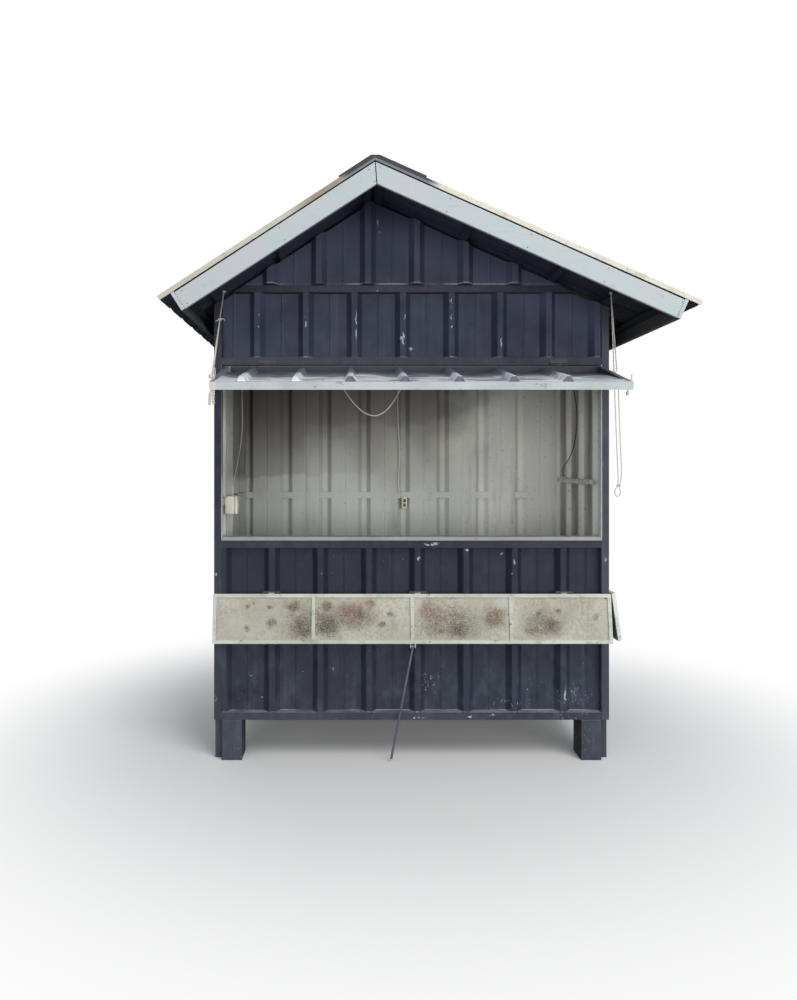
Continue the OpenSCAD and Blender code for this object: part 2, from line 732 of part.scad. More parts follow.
// Two lugs under the front ledge hold the pin of the prop rod
lug_t = 4;
lug_gap = 20;
lug_drop = 14;
prop_eye_r = 9;
prop_pin_r = 4;
prop_x = 2;
prop_y = ledge_back - ledge_t / 2;
prop_z = -frame_drop - ledge_h - lug_drop;
module prop_lugs() {
    translate([prop_x, prop_y, prop_z]) {
        for (x = [-lug_gap / 2 - lug_t, lug_gap / 2]) translate([x, -prop_eye_r, 0])
            cube([lug_t, 2 * prop_eye_r, lug_drop]);
        for (x = [-lug_gap / 2 - lug_t, lug_gap / 2]) translate([x, 0, 0]) rotate([0, 90, 0])
            cylinder(h = lug_t, r = prop_eye_r, $fn = 32);
        translate([-lug_gap / 2 - lug_t, 0, 0]) rotate([0, 90, 0])
            cylinder(h = lug_gap + 2 * lug_t, r = prop_pin_r, $fn = 24);
    }
}
module front_ledge_frame() {
    color(cream) front_ledge_space() {
        ledge_frame(front_ledge_l, front_bays, front_hinge_x);
        prop_lugs();
    }
}
module front_ledge_boards() { color(cream) front_ledge_space() ledge_boards(front_ledge_l, front_bays); }
module side_ledge_frame() {
    color(cream) side_ledge_space() ledge_frame(side_ledge_l, side_bays, side_hinge_y);
}
module side_ledge_boards() { color(cream) side_ledge_space() ledge_boards(side_ledge_l, side_bays); }

// Straight round bar from one point to another
module bar_between(a, b, d, sides = 24) {
    run = b - a;
    translate(a) rotate([0, acos(run[2] / norm(run)), atan2(run[1], run[0])])
        cylinder(h = norm(run), d = d, $fn = sides);
}

// Prop rod, hanging askew from its pin with its foot just off the ground
prop_pin = [
    prop_x,
    ledge_pin_y + prop_y * cos(ledge_lean) + prop_z * sin(ledge_lean),
    ledge_pin_h - prop_y * sin(ledge_lean) + prop_z * cos(ledge_lean)
];
prop_foot_out = 16;
prop_foot = [prop_foot_x, -half_d - prop_foot_out, prop_foot_h];
prop_eye_w = 12;
module prop_rod() {
    aim = (prop_foot - prop_pin) / norm(prop_foot - prop_pin);
    color(navy) placed() {
        translate(prop_pin - [prop_eye_w / 2, 0, 0]) rotate([0, 90, 0]) difference() {
            cylinder(h = prop_eye_w, r = prop_eye_r, $fn = 32);
            translate([0, 0, -1]) cylinder(h = prop_eye_w + 2, r = prop_pin_r + pin_gap, $fn = 24);
        }
        bar_between(prop_pin + (prop_eye_r + prop_pin_r) / 2 * aim, prop_foot, prop_d);
    }
}

// Awning ropes, taut. The left one hangs from a knot under the roof sheet, is doubled below
// its lower knot and holds the front corner. The right one is two strands from a knot under the
// sheet to the outside of the side bar. Below the bar they go on as the tail.
function awning_point(y, z) = [
    awning_pin_y + y * cos(awning_tilt) - z * sin(awning_tilt),
    awning_pin_z + y * sin(awning_tilt) + z * cos(awning_tilt)
];
knot_d = 16;
knot_depth = knot_d / 2 - 1;
double_d = 10;
left_x = awning_x - awning_w / 2 + awning_bar / 2;
right_face = awning_x + awning_w / 2;
left_hold = awning_point(-awning_l + awning_bar / 2, -frame_drop + edge_gap + double_d / 2);
right_hold = awning_point(-right_tie, -frame_drop);
// Places of the upper knots: in from the side wall and out from the front wall
left_knot_in = 62;
left_knot_out = 64;
right_knot_in = 51;
right_knot_out = 180;
left_knot = [
    left_knot_in - half_w, -half_d - left_knot_out, left_line(left_knot_in - half_w, knot_depth)
];
right_knot = [
    half_w - right_knot_in, -half_d - right_knot_out, right_line(half_w - right_knot_in, knot_depth)
];
middle_knot_at = 0.34;
strand_space = 14;
module knot(place) { translate(place) sphere(d = knot_d, $fn = 32); }
module rope_left() {
    low = [left_x, left_hold[0], left_hold[1]];
    middle_knot = left_knot + middle_knot_at * (low - left_knot);
    color(rope_white) placed() {
        knot(left_knot);
        bar_between(left_knot, middle_knot, rope_d);
        knot(middle_knot);
        bar_between(middle_knot, low, double_d);
    }
}
module rope_right() {
    x = right_face + edge_gap + rope_d / 2;
    color(rope_white) placed() {
        knot(right_knot);
        for (out = [0, strand_space])
            bar_between(right_knot, [x + out, right_hold[0], right_hold[1]], rope_d);
    }
}

// Free cords: tubes swept along routes of hand-placed points, in the cabin's own places
function unit(v) = v / norm(v);
function along(path, i) = unit(path[min(i + 1, len(path) - 1)] - path[max(i - 1, 0)]);
module cord_tube(path, d, across, sides = 8) {
    rings = [
        for (i = [0 : len(path) - 1])
            let (t = along(path, i), a = unit(cross(t, across)), b = cross(t, a))
                for (k = [0 : sides - 1])
                    path[i] + d / 2 * (cos(360 * k / sides) * a + sin(360 * k / sides) * b)
    ];
    last = (len(path) - 1) * sides;
    walls = [
        for (i = [0 : len(path) - 2])
            for (k = [0 : sides - 1])
                let (p = i * sides + k, q = i * sides + (k + 1) % sides)
                    each [[p, p + sides, q + sides], [p, q + sides, q]]
    ];
    caps = [[for (k = [0 : sides - 1]) k], [for (k = [sides - 1 : -1 : 0]) last + k]];
    polyhedron(points = rings, faces = concat(walls, caps), convexity = 6);
}

rope_tail_d = 5;
rope_tail_route = [
    [969, -700, 1976], [975, -700, 1974], [979, -700, 1967], [980, -700, 1950], [980, -700, 1890],
    [983, -700, 1800], [987, -700, 1700], [991, -700, 1600], [995, -700, 1500], [997, -700, 1440],
    [993, -700, 1422], [984, -700, 1406], [980, -700, 1390], [984, -700, 1376], [995, -700, 1370],
    [1005, -700, 1378], [1008, -700, 1392], [1004, -700, 1408], [1003, -700, 1424], [1010, -700, 1446],
    [1013, -700, 1500], [1009, -700, 1600], [1005, -700, 1700], [1001, -700, 1800], [998, -700, 1890],
    [994, -700, 1940], [989, -700, 1966], [980, -700, 1981], [969, -700, 1985]
];
module rope_tail() { color(rope_white) placed() cord_tube(rope_tail_route, rope_tail_d, [0, 1, 0]); }

lamp_cord_d = 5;
lamp_cord_route = [
    [980, -64, 2310], [971, -64, 2308], [963, -64, 2302], [959, -64, 2294], [958, -64, 2280],
    [960, -62, 2160], [963, -60, 2040], [965, -66, 1950], [965, -98, 1880], [965, -116, 1818],
    [965, -112, 1740], [965, -80, 1665], [965, -18, 1600], [964, 50, 1554], [962, 95, 1531],
    [959, 120, 1519], [957, 134, 1507], [955, 137, 1493], [954, 131, 1478], [954, 123, 1464],
    [954, 121, 1453]
];
module lamp_cord() { color([0.1, 0.1, 0.1]) placed() cord_tube(lamp_cord_route, lamp_cord_d, [1, 0.6, 0]); }

box_cord_d = 5;
box_cord_route = [
    [-980, 150, 2322], [-971, 150, 2320], [-963, 150, 2314], [-959, 150, 2306], [-958, 150, 2292],
    [-962, 151, 2120], [-966, 152, 1970], [-967, 172, 1850], [-966, 164, 1760], [-964, 110, 1680],
    [-962, 30, 1608], [-959, -80, 1536], [-955, -190, 1480], [-951, -280, 1441], [-948, -322, 1421],
    [-946, -338, 1409], [-945, -346, 1390], [-945, -346, 1360]
];
module box_cord() { color(rope_white) placed() cord_tube(box_cord_route, box_cord_d, [1, 0.2, 0]); }

socket_cord_d = 5;
socket_cord_route = [
    [-12, 460, 2436], [-12, 452, 2434], [-12, 444, 2428], [-12, 440, 2414], [-12, 440, 2200],
    [-13, 440, 2000], [-12, 440, 1806], [-4, 440, 1672], [-1, 440, 1583], [-7, 440, 1480],
    [-8, 440, 1420], [-6, 440, 1368], [-2, 440, 1354], [7, 441, 1345], [16, 442, 1336], [20, 442, 1323]
];
module socket_cord() { color(rope_white) placed() cord_tube(socket_cord_route, socket_cord_d, [1, 0, 0.3]); }

loop_wire_d = 5;
loop_wire_route = [
    [-386, -470, 2040], [-386, -470, 2026], [-376, -470, 1976], [-362, -470, 1942],
    [-344, -470, 1908], [-318, -470, 1870], [-288, -470, 1834], [-254, -470, 1804],
    [-220, -470, 1786], [-190, -470, 1780], [-160, -470, 1788], [-130, -470, 1808],
    [-102, -470, 1840], [-78, -470, 1876], [-54, -470, 1918], [-34, -470, 1960],
    [-16, -470, 2026], [-16, -470, 2040]
];
module loop_wire() { color(rope_white) placed() cord_tube(loop_wire_route, loop_wire_d, [0, 1, 0]); }

leg_front_left();
leg_front_right();
leg_rear_left();
leg_rear_right();
base_rails();
side_rails();
floor_plate();
post_front_left();
post_front_right();
post_rear_left();
post_rear_right();
front_lower_sheet();
sill_rail();
sill_cap();
head_rail();
front_upper_sheet();
front_tie();
front_gable_sheet();
rear_lower_sheet();
rear_mid_rail();
rear_upper_sheet();
rear_tie();
rear_gable_sheet();
left_lower_sheet();
left_mid_rail();
left_upper_sheet();
right_sheet();
top_plates();
rafters();
purlins();
roof_sheet_left();
roof_sheet_right();
ridge_cap();
verge_strips();
barge_front();
barge_rear();
eave_boards();
worktop();
worktop_brackets();
switch_box();
wall_socket();
wall_lamp();
awning_hinges();
awning_frame();
awning_sheet();
ledge_hinges();
front_ledge_frame();
front_ledge_boards();
side_ledge_frame();
side_ledge_boards();
prop_rod();
rope_left();
rope_right();
rope_tail();
lamp_cord();
box_cord();
socket_cord();
loop_wire();
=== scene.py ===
"""Looks of a street kiosk: a raised cabin of ribbed sheet with an awning, ledges and a gable roof."""

import itertools
import logging
import math
import random
from dataclasses import dataclass
from enum import Enum

import bmesh
import bpy
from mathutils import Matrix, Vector


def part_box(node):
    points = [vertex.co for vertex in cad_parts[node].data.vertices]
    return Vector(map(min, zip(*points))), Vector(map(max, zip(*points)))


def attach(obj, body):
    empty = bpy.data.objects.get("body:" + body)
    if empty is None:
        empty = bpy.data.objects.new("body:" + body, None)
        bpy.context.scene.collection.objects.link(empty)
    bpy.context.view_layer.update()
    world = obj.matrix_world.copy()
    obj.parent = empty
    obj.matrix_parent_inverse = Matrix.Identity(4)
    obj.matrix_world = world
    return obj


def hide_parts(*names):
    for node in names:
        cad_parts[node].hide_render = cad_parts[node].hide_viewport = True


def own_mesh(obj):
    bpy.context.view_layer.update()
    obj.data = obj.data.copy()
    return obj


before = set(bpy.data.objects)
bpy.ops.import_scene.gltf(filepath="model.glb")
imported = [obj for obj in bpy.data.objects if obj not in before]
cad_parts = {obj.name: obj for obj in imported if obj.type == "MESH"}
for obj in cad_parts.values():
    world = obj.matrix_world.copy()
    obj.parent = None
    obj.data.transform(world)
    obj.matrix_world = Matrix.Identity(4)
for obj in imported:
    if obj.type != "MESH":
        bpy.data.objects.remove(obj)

LOG = logging.getLogger("kiosk")
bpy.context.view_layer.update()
# Places of the roof in metres: the middle of the cabin, the ridge, and the top edge of the pale strip,
# which falls by these slopes to the left and right of the ridge.
MIDDLE = (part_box("post_front_left")[0].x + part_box("post_front_right")[1].x) / 2
RIDGE = MIDDLE - 0.205
STRIP_TOP = 2.909
SLOPE_LEFT, SLOPE_RIGHT = 0.649, 0.445
# Further than any mark, in mark sizes.
FAR = 9.0
UP = Vector((0, 0, 1))
FRONT = Vector((0, -1, 0))
REAR = Vector((0, 1, 0))
RIGHT = Vector((1, 0, 0))
# Screws in a hinge leaf, in millimetres from its middle.
LEAF_SCREWS = (-32, 0, 32)
STEEL = "painted_steel"
WASHER_DEPTH = 0.0016
BEAD_STEP = 0.004

Colour = tuple[int, int, int]
Point = tuple[float, float, float]
Mesh = bpy.types.Mesh
Object = bpy.types.Object
Material = bpy.types.Material
Socket = bpy.types.NodeSocket


def at(x: float, y: float, z: float) -> Vector:
    """Place in metres of a point given in millimetres from the middle of the cabin."""
    return Vector((x / 1000 + MIDDLE, y / 1000, z / 1000))


def paint(colour: Colour) -> tuple[float, float, float, float]:
    """Linear colour of a swatch given as it shows on a screen, from 0 to 255.

    Args:
        colour: red, green and blue of the swatch.

    Returns:
        Red, green, blue and a full alpha.
    """
    parts = [c / 255 for c in colour]
    linear = [c / 12.92 if c <= 0.04045 else ((c + 0.055) / 1.055) ** 2.4 for c in parts]
    return (linear[0], linear[1], linear[2], 1.0)


# Node graphs


class Graph:
    """A node tree with a short call for adding a node and feeding its sockets."""

    def __init__(self, tree: bpy.types.NodeTree) -> None:
        """Starts on an empty tree.

        Args:
            tree: the tree to fill.
        """
        self.tree = tree
        self.tree.nodes.clear()

    def add(self, kind: str, inputs: dict | None = None, **settings: object) -> bpy.types.Node:
        """Adds a node.

        Args:
            kind: Blender's name for the node.
            inputs: a value or a socket for each input, by name or by number.
            settings: the node's own settings.

        Returns:
            The new node.
        """
        node = self.tree.nodes.new(kind)
        for key, value in settings.items():
            setattr(node, key, value)
        for key, value in (inputs or {}).items():
            self.feed(node.inputs[key], value)
        return node

    def first(self, kind: str, inputs: dict | None = None, **settings: object) -> Socket:
        """Adds a node as above and gives its first output."""
        return self.add(kind, inputs, **settings).outputs[0]

    def feed(self, socket: Socket, value: object) -> None:
        """Links a socket to another one, or sets its own value.

        Args:
            socket: the input to feed.
            value: a socket or a plain value.
        """
        if isinstance(value, Socket):
            self.tree.links.new(value, socket)
        else:
            socket.default_value = value

    def maths(self, operation: str, a: object, b: object = 0.0) -> Socket:
        """One step of arithmetic on two values or sockets."""
        return self.first("ShaderNodeMath", {0: a, 1: b}, operation=operation)

    def vector(self, operation: str, *values: object) -> bpy.types.Node:
        """One step of arithmetic on vectors."""
        return self.add("ShaderNodeVectorMath", dict(enumerate(values)), operation=operation)


class Shade(Graph):
    """Node tree of one material, with the patterns that the finishes share."""

    def __init__(self, name: str) -> None:
        """Makes the material with one Principled shader.

        Args:
            name: the material's name.
        """
        self.material = bpy.data.materials.new(name)
        self.material.use_nodes = True
        super().__init__(self.material.node_tree)
        output = self.add("ShaderNodeOutputMaterial")
        self.shader = self.add("ShaderNodeBsdfPrincipled")
        self.feed(output.inputs["Surface"], self.shader.outputs["BSDF"])
        coords = self.add("ShaderNodeTexCoord")
        self.place = coords.outputs["Object"]
        self.normal = coords.outputs["Normal"]
        self.across, self.deep, self.high = (self.axis(self.place, k) for k in range(3))
        self.upward = self.axis(self.normal, 2)

    def plus(self, a: object, b: object) -> Socket:
        """Sum."""
        return self.maths("ADD", a, b)

    def minus(self, a: object, b: object) -> Socket:
        """Difference."""
        return self.maths("SUBTRACT", a, b)

    def times(self, a: object, b: object) -> Socket:
        """Product."""
        return self.maths("MULTIPLY", a, b)

    def larger(self, a: object, b: object) -> Socket:
        """The larger of two values."""
        return self.maths("MAXIMUM", a, b)

    def ramp(self, value: object, low: float, high: float, start: float = 0.0, end: float = 1.0) -> Socket:
        """Smooth step of a value between two levels, from start to end."""
        inputs = {"Value": value, "From Min": low, "From Max": high, "To Min": start, "To Max": end}
        return self.add("ShaderNodeMapRange", inputs, interpolation_type="SMOOTHSTEP").outputs["Result"]

    def fall(self, value: object, low: float, high: float) -> Socket:
        """Smooth step down from 1 at the low level to 0 at the high one."""
        return self.ramp(value, low, high, 1.0, 0.0)

    def moved(self, stretch: Point, offset: float) -> Socket:
        """Object coordinates, stretched and moved along."""
        inputs = {"Vector": self.place, "Location": (offset,) * 3, "Scale": stretch}
        return self.first("ShaderNodeMapping", inputs)

    def noise(
        self, scale: float, stretch: Point = (1, 1, 1), detail: float = 3.0,
        rough: float = 0.55, offset: float = 0.0,
    ) -> Socket:
        """Cloudy pattern about 0.5.

        Args:
            scale: clouds per metre.
            stretch: scale along each axis on top of it.
            detail: how many finer clouds are laid over the first.
            rough: how strong the finer clouds are.
            offset: moves the pattern, so that two patterns differ.

        Returns:
            The socket of the pattern.
        """
        inputs = {"Vector": self.moved(stretch, offset), "Scale": scale, "Detail": detail, "Roughness": rough}
        return self.first("ShaderNodeTexNoise", inputs)

    def mix(self, share: object, a: object, b: object) -> Socket:
        """Colour between a, at 0, and b, at 1."""
        return self.add("ShaderNodeMix", {0: share, 6: a, 7: b}, data_type="RGBA").outputs[2]

    def lay(self, colour: object, tone: Colour, share: object) -> Socket:
        """A colour with a tone laid over it, wholly where the share is 1."""
        return self.mix(share, colour, paint(tone))

    def clouded(self, first: Colour, second: Colour, *shape: object, **pattern: float) -> Socket:
        """Colour that wanders between two tones by a noise."""
        return self.lay(paint(first), second, self.ramp(self.noise(*shape, **pattern), 0.35, 0.65))

    def stain(self, colour: object, tone: Colour, levels: Point, *shape: object, **pattern: float) -> Socket:
        """A colour with a tone laid over it by a noise.

        Args:
            colour: the colour below.
            tone: the stain's tone.
            levels: where the noise starts to count, where it counts fully, and for how much.
            shape: scale and stretch of the noise.
            pattern: detail, rough and offset of the noise.

        Returns:
            The socket of the colour.
        """
        low, high, most = levels
        return self.lay(colour, tone, self.ramp(self.noise(*shape, **pattern), low, high, 0.0, most))

    def wander(self, low: float, high: float, *shape: object, **pattern: float) -> Socket:
        """Value that wanders from low to high by a noise."""
        return self.ramp(self.noise(*shape, **pattern), 0.3, 0.7, low, high)

    def edges(self, levels: tuple[float, ...], *shape: object, **pattern: float) -> Socket:
        """Where the rounded edges are, broken up by a noise that steps between the levels."""
        return self.times(self.named("edge"), self.ramp(self.noise(*shape, **pattern), *levels))

    def axis(self, vector: Socket, number: int) -> Socket:
        """One coordinate of a vector: 0 across, 1 deep, 2 high."""
        return self.add("ShaderNodeSeparateXYZ", {0: vector}).outputs[number]

    def near(self, marks: "tuple[Mark, ...]", rag: float, scale: float) -> Socket:
        """How far a place is from the nearest mark: 0 in its middle, 1 at its rim.

        Args:
            marks: the marks.
            rag: how far the rims wander, in metres.
            scale: how fine they wander.

        Returns:
            The socket of the distance.
        """
        wave = self.add("ShaderNodeTexNoise", {"Vector": self.place, "Scale": scale, "Detail": 3.0})
        centred = self.vector("SUBTRACT", wave.outputs["Color"], (0.5,) * 3).outputs[0]
        warped = self.vector("MULTIPLY_ADD", centred, (rag * 0.7, 0.0, rag), self.place).outputs[0]
        nearest: object = FAR
        for mark in marks:
            size = (1000 / mark.half_w, 0.0, 1000 / mark.half_h)
            middle = at(mark.x, 0, mark.z)
            back = (-middle.x * size[0], 0.0, -middle.z * size[2])
            away = self.vector("MULTIPLY_ADD", warped, size, back).outputs[0]
            far = self.vector("LENGTH", away).outputs["Value"]
            nearest = self.maths("MINIMUM", nearest, far)
        return nearest

    def named(self, name: str) -> Socket:
        """The value that a mesh carries under a name."""
        return self.add("ShaderNodeAttribute", attribute_name=name).outputs["Fac"]

    def bump(self, height: object, depth: float, strength: float = 1.0, under: object = None) -> Socket:
        """Bumps of a height pattern, depth in metres from its 0 to its 1.

        Args:
            height: the pattern.
            depth: its depth in metres, negative for dents.
            strength: how much of it shows.
            under: bumps that lie under these.

        Returns:
            The socket of the normal.
        """
        inputs = {"Height": height, "Distance": depth, "Strength": strength}
        if under is not None:
            inputs["Normal"] = under
        return self.first("ShaderNodeBump", inputs)

    def cover(self, **sockets: object) -> Material:
        """Feeds the shader and gives the material.

        Args:
            sockets: a value for each of the shader's inputs, with _ for a blank.

        Returns:
            The finished material.
        """
        for name, value in sockets.items():
            self.feed(self.shader.inputs[name.replace("_", " ")], value)
        return self.material


# Finishes


class Side(Enum):
    """Which way the dark painted side of a piece faces, across and deep. What turns away is pale."""

    ALL = (0.0, 0.0)
    FRONT = (0.0, -1.0)
    REAR = (0.0, 1.0)
    LEFT = (-1.0, 0.0)
    RIGHT = (1.0, 0.0)
    REAR_LEFT = (-0.7, 0.7)
    REAR_RIGHT = (0.7, 0.7)


@dataclass(frozen=True)
class Mark:
    """A spot on the front, in millimetres: its middle, its half width and half height."""

    x: float
    z: float
    half_w: float
    half_h: float


def marks(*rows: tuple[float, float, float, float]) -> tuple[Mark, ...]:
    """Marks from their rows of numbers."""
    return tuple(Mark(*row) for row in rows)


def below_roof(s: Shade) -> Socket:
    """How far a place is below the top of the roof's pale strip, in metres.

    Args:
        s: the material's tree.

    Returns:
        The socket of the distance.
    """
    left = s.times(s.minus(RIDGE, s.across), SLOPE_LEFT)
    right = s.times(s.minus(s.across, RIDGE), SLOPE_RIGHT)
    return s.minus(STRIP_TOP, s.plus(s.high, s.larger(left, right)))


@dataclass(frozen=True)
class SteelPaint:
    """Old dark paint over pale primer, outside, with painted light under the roof where asked, and marks of
    stain and painted shade; a pale grimy coat inside, with painted light and shade.
    """

    name: str
    side: Side = Side.ALL
    tone: Colour = (60, 66, 80)
    deep: Colour = (50, 55, 68)
    primer: Colour = (186, 190, 196)
    chips: float = 0.5
    marks: tuple[Mark, ...] = ()
    splashes: tuple[Mark, ...] = ()
    stains: tuple[Mark, ...] = ()
    seams: tuple[float, ...] = ()
    clean: bool = False
    opening: tuple[float, float] | None = None
    sheltered: bool = False

    def outside(self, s: Shade) -> tuple[Socket, Socket]:
        """Colour of the dark paint, and where it is bared.

        Args:
            s: the material's tree.

        Returns:
            The sockets of the colour and of the bared places.
        """
        colour = s.clouded(self.deep, self.tone, 1.6, detail=4, offset=2.0)
        colour = s.stain(colour, (80, 88, 104), (0.52, 0.78, 0.4), 22, (1, 1, 0.05), offset=5.0)
        colour = s.stain(colour, (70, 68, 78), (0.55, 0.75, 0.3), 5, (1, 1, 0.3), offset=9.0)
        chalk = s.ramp(s.noise(13, (1, 1, 0.6), detail=5, rough=0.65, offset=17.0), 0.45, 0.68, 0.0, 0.4)
        low = s.ramp(s.high, 0.3, 1.2, 1.0, 0.35)
        colour = s.lay(colour, (84, 92, 106), s.times(chalk, low))
        colour = s.stain(colour, (42, 45, 57), (0.5, 0.7, 0.4), 9, (1, 1, 0.7), detail=4, offset=19.0)
        # Painted light: paler and bluer just under the roof, more so to the right.
        if self.sheltered:
            right = s.ramp(s.across, 0.1, 0.7, 0.6, 0.9)
            under_roof_light = s.times(s.fall(below_roof(s), 0.1, 0.31), right)
            colour = s.lay(colour, (86, 91, 113), under_roof_light)
        # Darker marks: stains, a broad darker band on the lower wall, and painted shade on the left post.
        if self.stains:
            stained = s.ramp(s.near(self.stains, 0.12, 16.0), 0.2, 1.3, 0.65, 0.0)
            colour = s.lay(colour, (34, 38, 50), stained)
        # Pale lines along the rounded edges: worn paint and painted highlight.
        colour = s.lay(colour, (100, 106, 120), s.edges((0.4, 0.6, 0.1, 0.6), 9, offset=21.0))
        fine = s.noise(120, (1, 1, 0.6), rough=0.6, offset=1.5)
        spread = s.ramp(s.noise(3.1, offset=4.0), 0.45, 0.7, -0.06, 0.02)
        bared = s.ramp(s.plus(fine, spread), 0.72, 0.75, 0.0, self.chips)
        bared = s.larger(bared, s.edges((0.6, 0.66, 0.0, 0.6), 30, detail=4, offset=7.0))
        if self.splashes:
            ring = s.ramp(s.near(self.splashes, 0.1, 9.0), 0.2, 1.1, 0.06, -0.06)
            bared = s.larger(bared, s.ramp(s.plus(fine, ring), 0.66, 0.71, 0.0, 0.6))
        if self.marks:
            gaps = s.ramp(s.noise(95, (1, 1, 0.5), detail=2, offset=1.0), 0.4, 0.5)
            spot = s.ramp(s.near(self.marks, 0.03, 55.0), 0.6, 0.95, 0.85, 0.0)
            bared = s.larger(bared, s.times(spot, gaps))
        for height in self.seams:
            away = s.maths("ABSOLUTE", s.minus(s.high, height / 1000))
            worn = s.ramp(s.noise(6, offset=height), 0.42, 0.6, 0.05, 0.5)
            bared = s.larger(bared, s.times(s.fall(away, 0.0015, 0.004), worn))
        return colour, bared

    def make(self) -> Material:
        """Builds the material.

        Returns:
            The material.
        """
        s = Shade(self.name)
        colour, bared = self.outside(s)
        laid = s.ramp(s.noise(5, offset=14.0), 0.35, 0.6, 0.3, 0.9)
        dust = s.times(s.ramp(s.upward, 0.5, 0.9), laid)
        colour = s.lay(colour, (146, 152, 164), dust)
        colour = s.lay(colour, self.primer, bared)
        rough = s.wander(0.5, 0.66, 14, offset=6.0)
        if self.side is not Side.ALL:
            aim = (*self.side.value, 0.0)
            turned = s.vector("DOT_PRODUCT", s.normal, aim).outputs["Value"]
            inside = s.fall(turned, -0.25, -0.2)
            if self.opening:
                low, high = self.opening
                inside = s.times(inside, s.ramp(s.high, low, low + 0.004))
                inside = s.times(inside, s.fall(s.high, high, high + 0.004))
            colour = s.mix(inside, colour, InsideCoat.colour(s, self.clean))
            rough = s.larger(rough, s.times(inside, 0.62))
        dents = s.bump(s.noise(2.6, detail=2, offset=8.0), 0.006)
        skin = s.bump(s.noise(160, detail=2), 0.0004, 0.5, dents)
        chip = s.bump(bared, -0.0006, 1.0, skin)
        return s.cover(Base_Color=colour, Roughness=rough, Normal=chip, Specular_IOR_Level=0.25)


@dataclass(frozen=True)
class InsideCoat:
    """Off-white coat inside the cabin, browner up to the left with stains and painted shade, paler to the
    right with painted light, with grime at the ribs.
    """

    name: str = "inside_coat"

    @staticmethod
    def colour(s: Shade, clean: bool = False) -> Socket:
        """Colour of the coat by its place in the cabin, with painted light and shade.

        Args:
            s: the material's tree.
            clean: whether it is the left wall's coat: pale, and darker toward the rear with stain and painted
                shade, without the bands of the rear wall.

        Returns:
            The socket of the colour.
        """
        across, high = s.across, s.high
        level = s.plus(high, s.wander(-0.025, 0.025, 7, detail=4, rough=0.6, offset=7.0))
        if clean:
            colour = s.clouded((206, 208, 202), (222, 224, 220), 3)
            # Stain and painted shade: darker toward the rear, and high up at the rear.
            colour = s.lay(colour, (128, 130, 120), s.ramp(s.deep, -0.2, 0.06, 0.0, 0.6))
            upper = s.times(s.ramp(s.deep, -0.26, -0.02), s.ramp(level, 1.4, 1.5))
            colour = s.lay(colour, (84, 84, 80), s.times(upper, 0.75))
        else:
            cloud = s.wander(-0.12, 0.12, 2.2, offset=3.0)
            # Painted shade: darker upwards, under the awning and the roof; painted light: paler to the right.
            dim = s.lay(paint((208, 211, 203)), (148, 145, 138), s.ramp(s.plus(high, cloud), 1.2, 1.85))
            colour = s.lay(dim, (246, 246, 238), s.ramp(s.plus(across, cloud), 0.12, 0.66))
            # Soft darker steps: the one at 1.79 m, rising to the right, is the painted shadow of the awning;
            # the lower ones on the left are stain and painted shade.
            lower = s.minus(level, s.ramp(across, 0.0, 0.7, 0.0, 0.17))
            half, left = s.fall(across, -0.3, -0.1), s.fall(across, -0.66, -0.63)
            bands = (
                (1.79, 0.03, 0.3, s.fall(across, 0.5, 0.7)),
                (1.7, 0.03, 0.16, half),
                (1.455, 0.008, 0.14, half),
                (1.455, 0.01, 0.25, left),
            )
            for line, soft, share, side in bands:
                band = s.times(s.ramp(lower, line - soft, line + soft, 0.0, share), side)
                colour = s.lay(colour, (98, 94, 90), band)
            corner = s.ramp(across, 0.955, 0.965)
            brown = s.times(corner, s.wander(0.6, 1.0, 9, (1, 1, 0.2), offset=25.0))
            colour = s.lay(colour, (160, 151, 138), brown)
        colour = s.stain(colour, (128, 120, 106), (0.55, 0.8, 0.4), 12, (1, 1, 0.12), detail=4, offset=11.0)
        return s.stain(colour, (98, 88, 76), (0.62, 0.72, 0.25), 48, detail=2, offset=2.0)

    def make(self) -> Material:
        """Builds the material.

        Returns:
            The material.
        """
        s = Shade(self.name)
        skin = s.bump(s.noise(120, detail=2), 0.0004, 0.5)
        return s.cover(Base_Color=self.colour(s), Roughness=s.wander(0.5, 0.7, 9, offset=1.0), Normal=skin)


@dataclass(frozen=True)
class BoardPaint:
    """Pale paint on sawn boards, with faint grain, rain marks and rust under the nails, and where shady,
    painted shade on the inner faces.
    """

    name: str
    tone: Colour = (179, 191, 191)
    warm: Colour = (187, 189, 194)
    dirt: Colour = (128, 130, 126)
    grain: Point = (1.0, 1.0, 1.0)
    stains: float = 0.3
    rim: Colour = (92, 94, 92)
    shady: bool = False

    def make(self) -> Material:
        """Builds the material.

        Returns:
            The material.
        """
        s = Shade(self.name)
        colour = s.clouded(self.tone, self.warm, 3.0)
        grain = s.noise(70, self.grain, detail=4, offset=2.0)
        colour = s.lay(colour, self.dirt, s.ramp(grain, 0.55, 0.8, 0.0, 0.18))
        colour = s.stain(colour, self.dirt, (0.64, 0.74, self.stains), 26, detail=4, offset=5.0)
        colour = s.lay(colour, self.rim, s.edges((0.45, 0.6, 0.2, 0.9), 18, offset=7.0))
        colour = s.stain(colour, (150, 122, 92), (0.66, 0.76, 0.3), 7, (1, 1, 0.4), offset=12.0)
        if self.shady:
            # Painted shade: the inner and lower faces of the eave boards darker.
            outward = s.times(s.axis(s.normal, 0), s.maths("SIGN", s.across))
            bare = s.times(s.fall(outward, 0.2, 0.5), s.ramp(s.axis(s.normal, 1), -0.6, -0.3))
            colour = s.lay(colour, (92, 92, 94), bare)
        rough = s.ramp(grain, 0.3, 0.7, 0.5, 0.68)
        return s.cover(Base_Color=colour, Roughness=rough, Normal=s.bump(grain, 0.0008, 0.6))


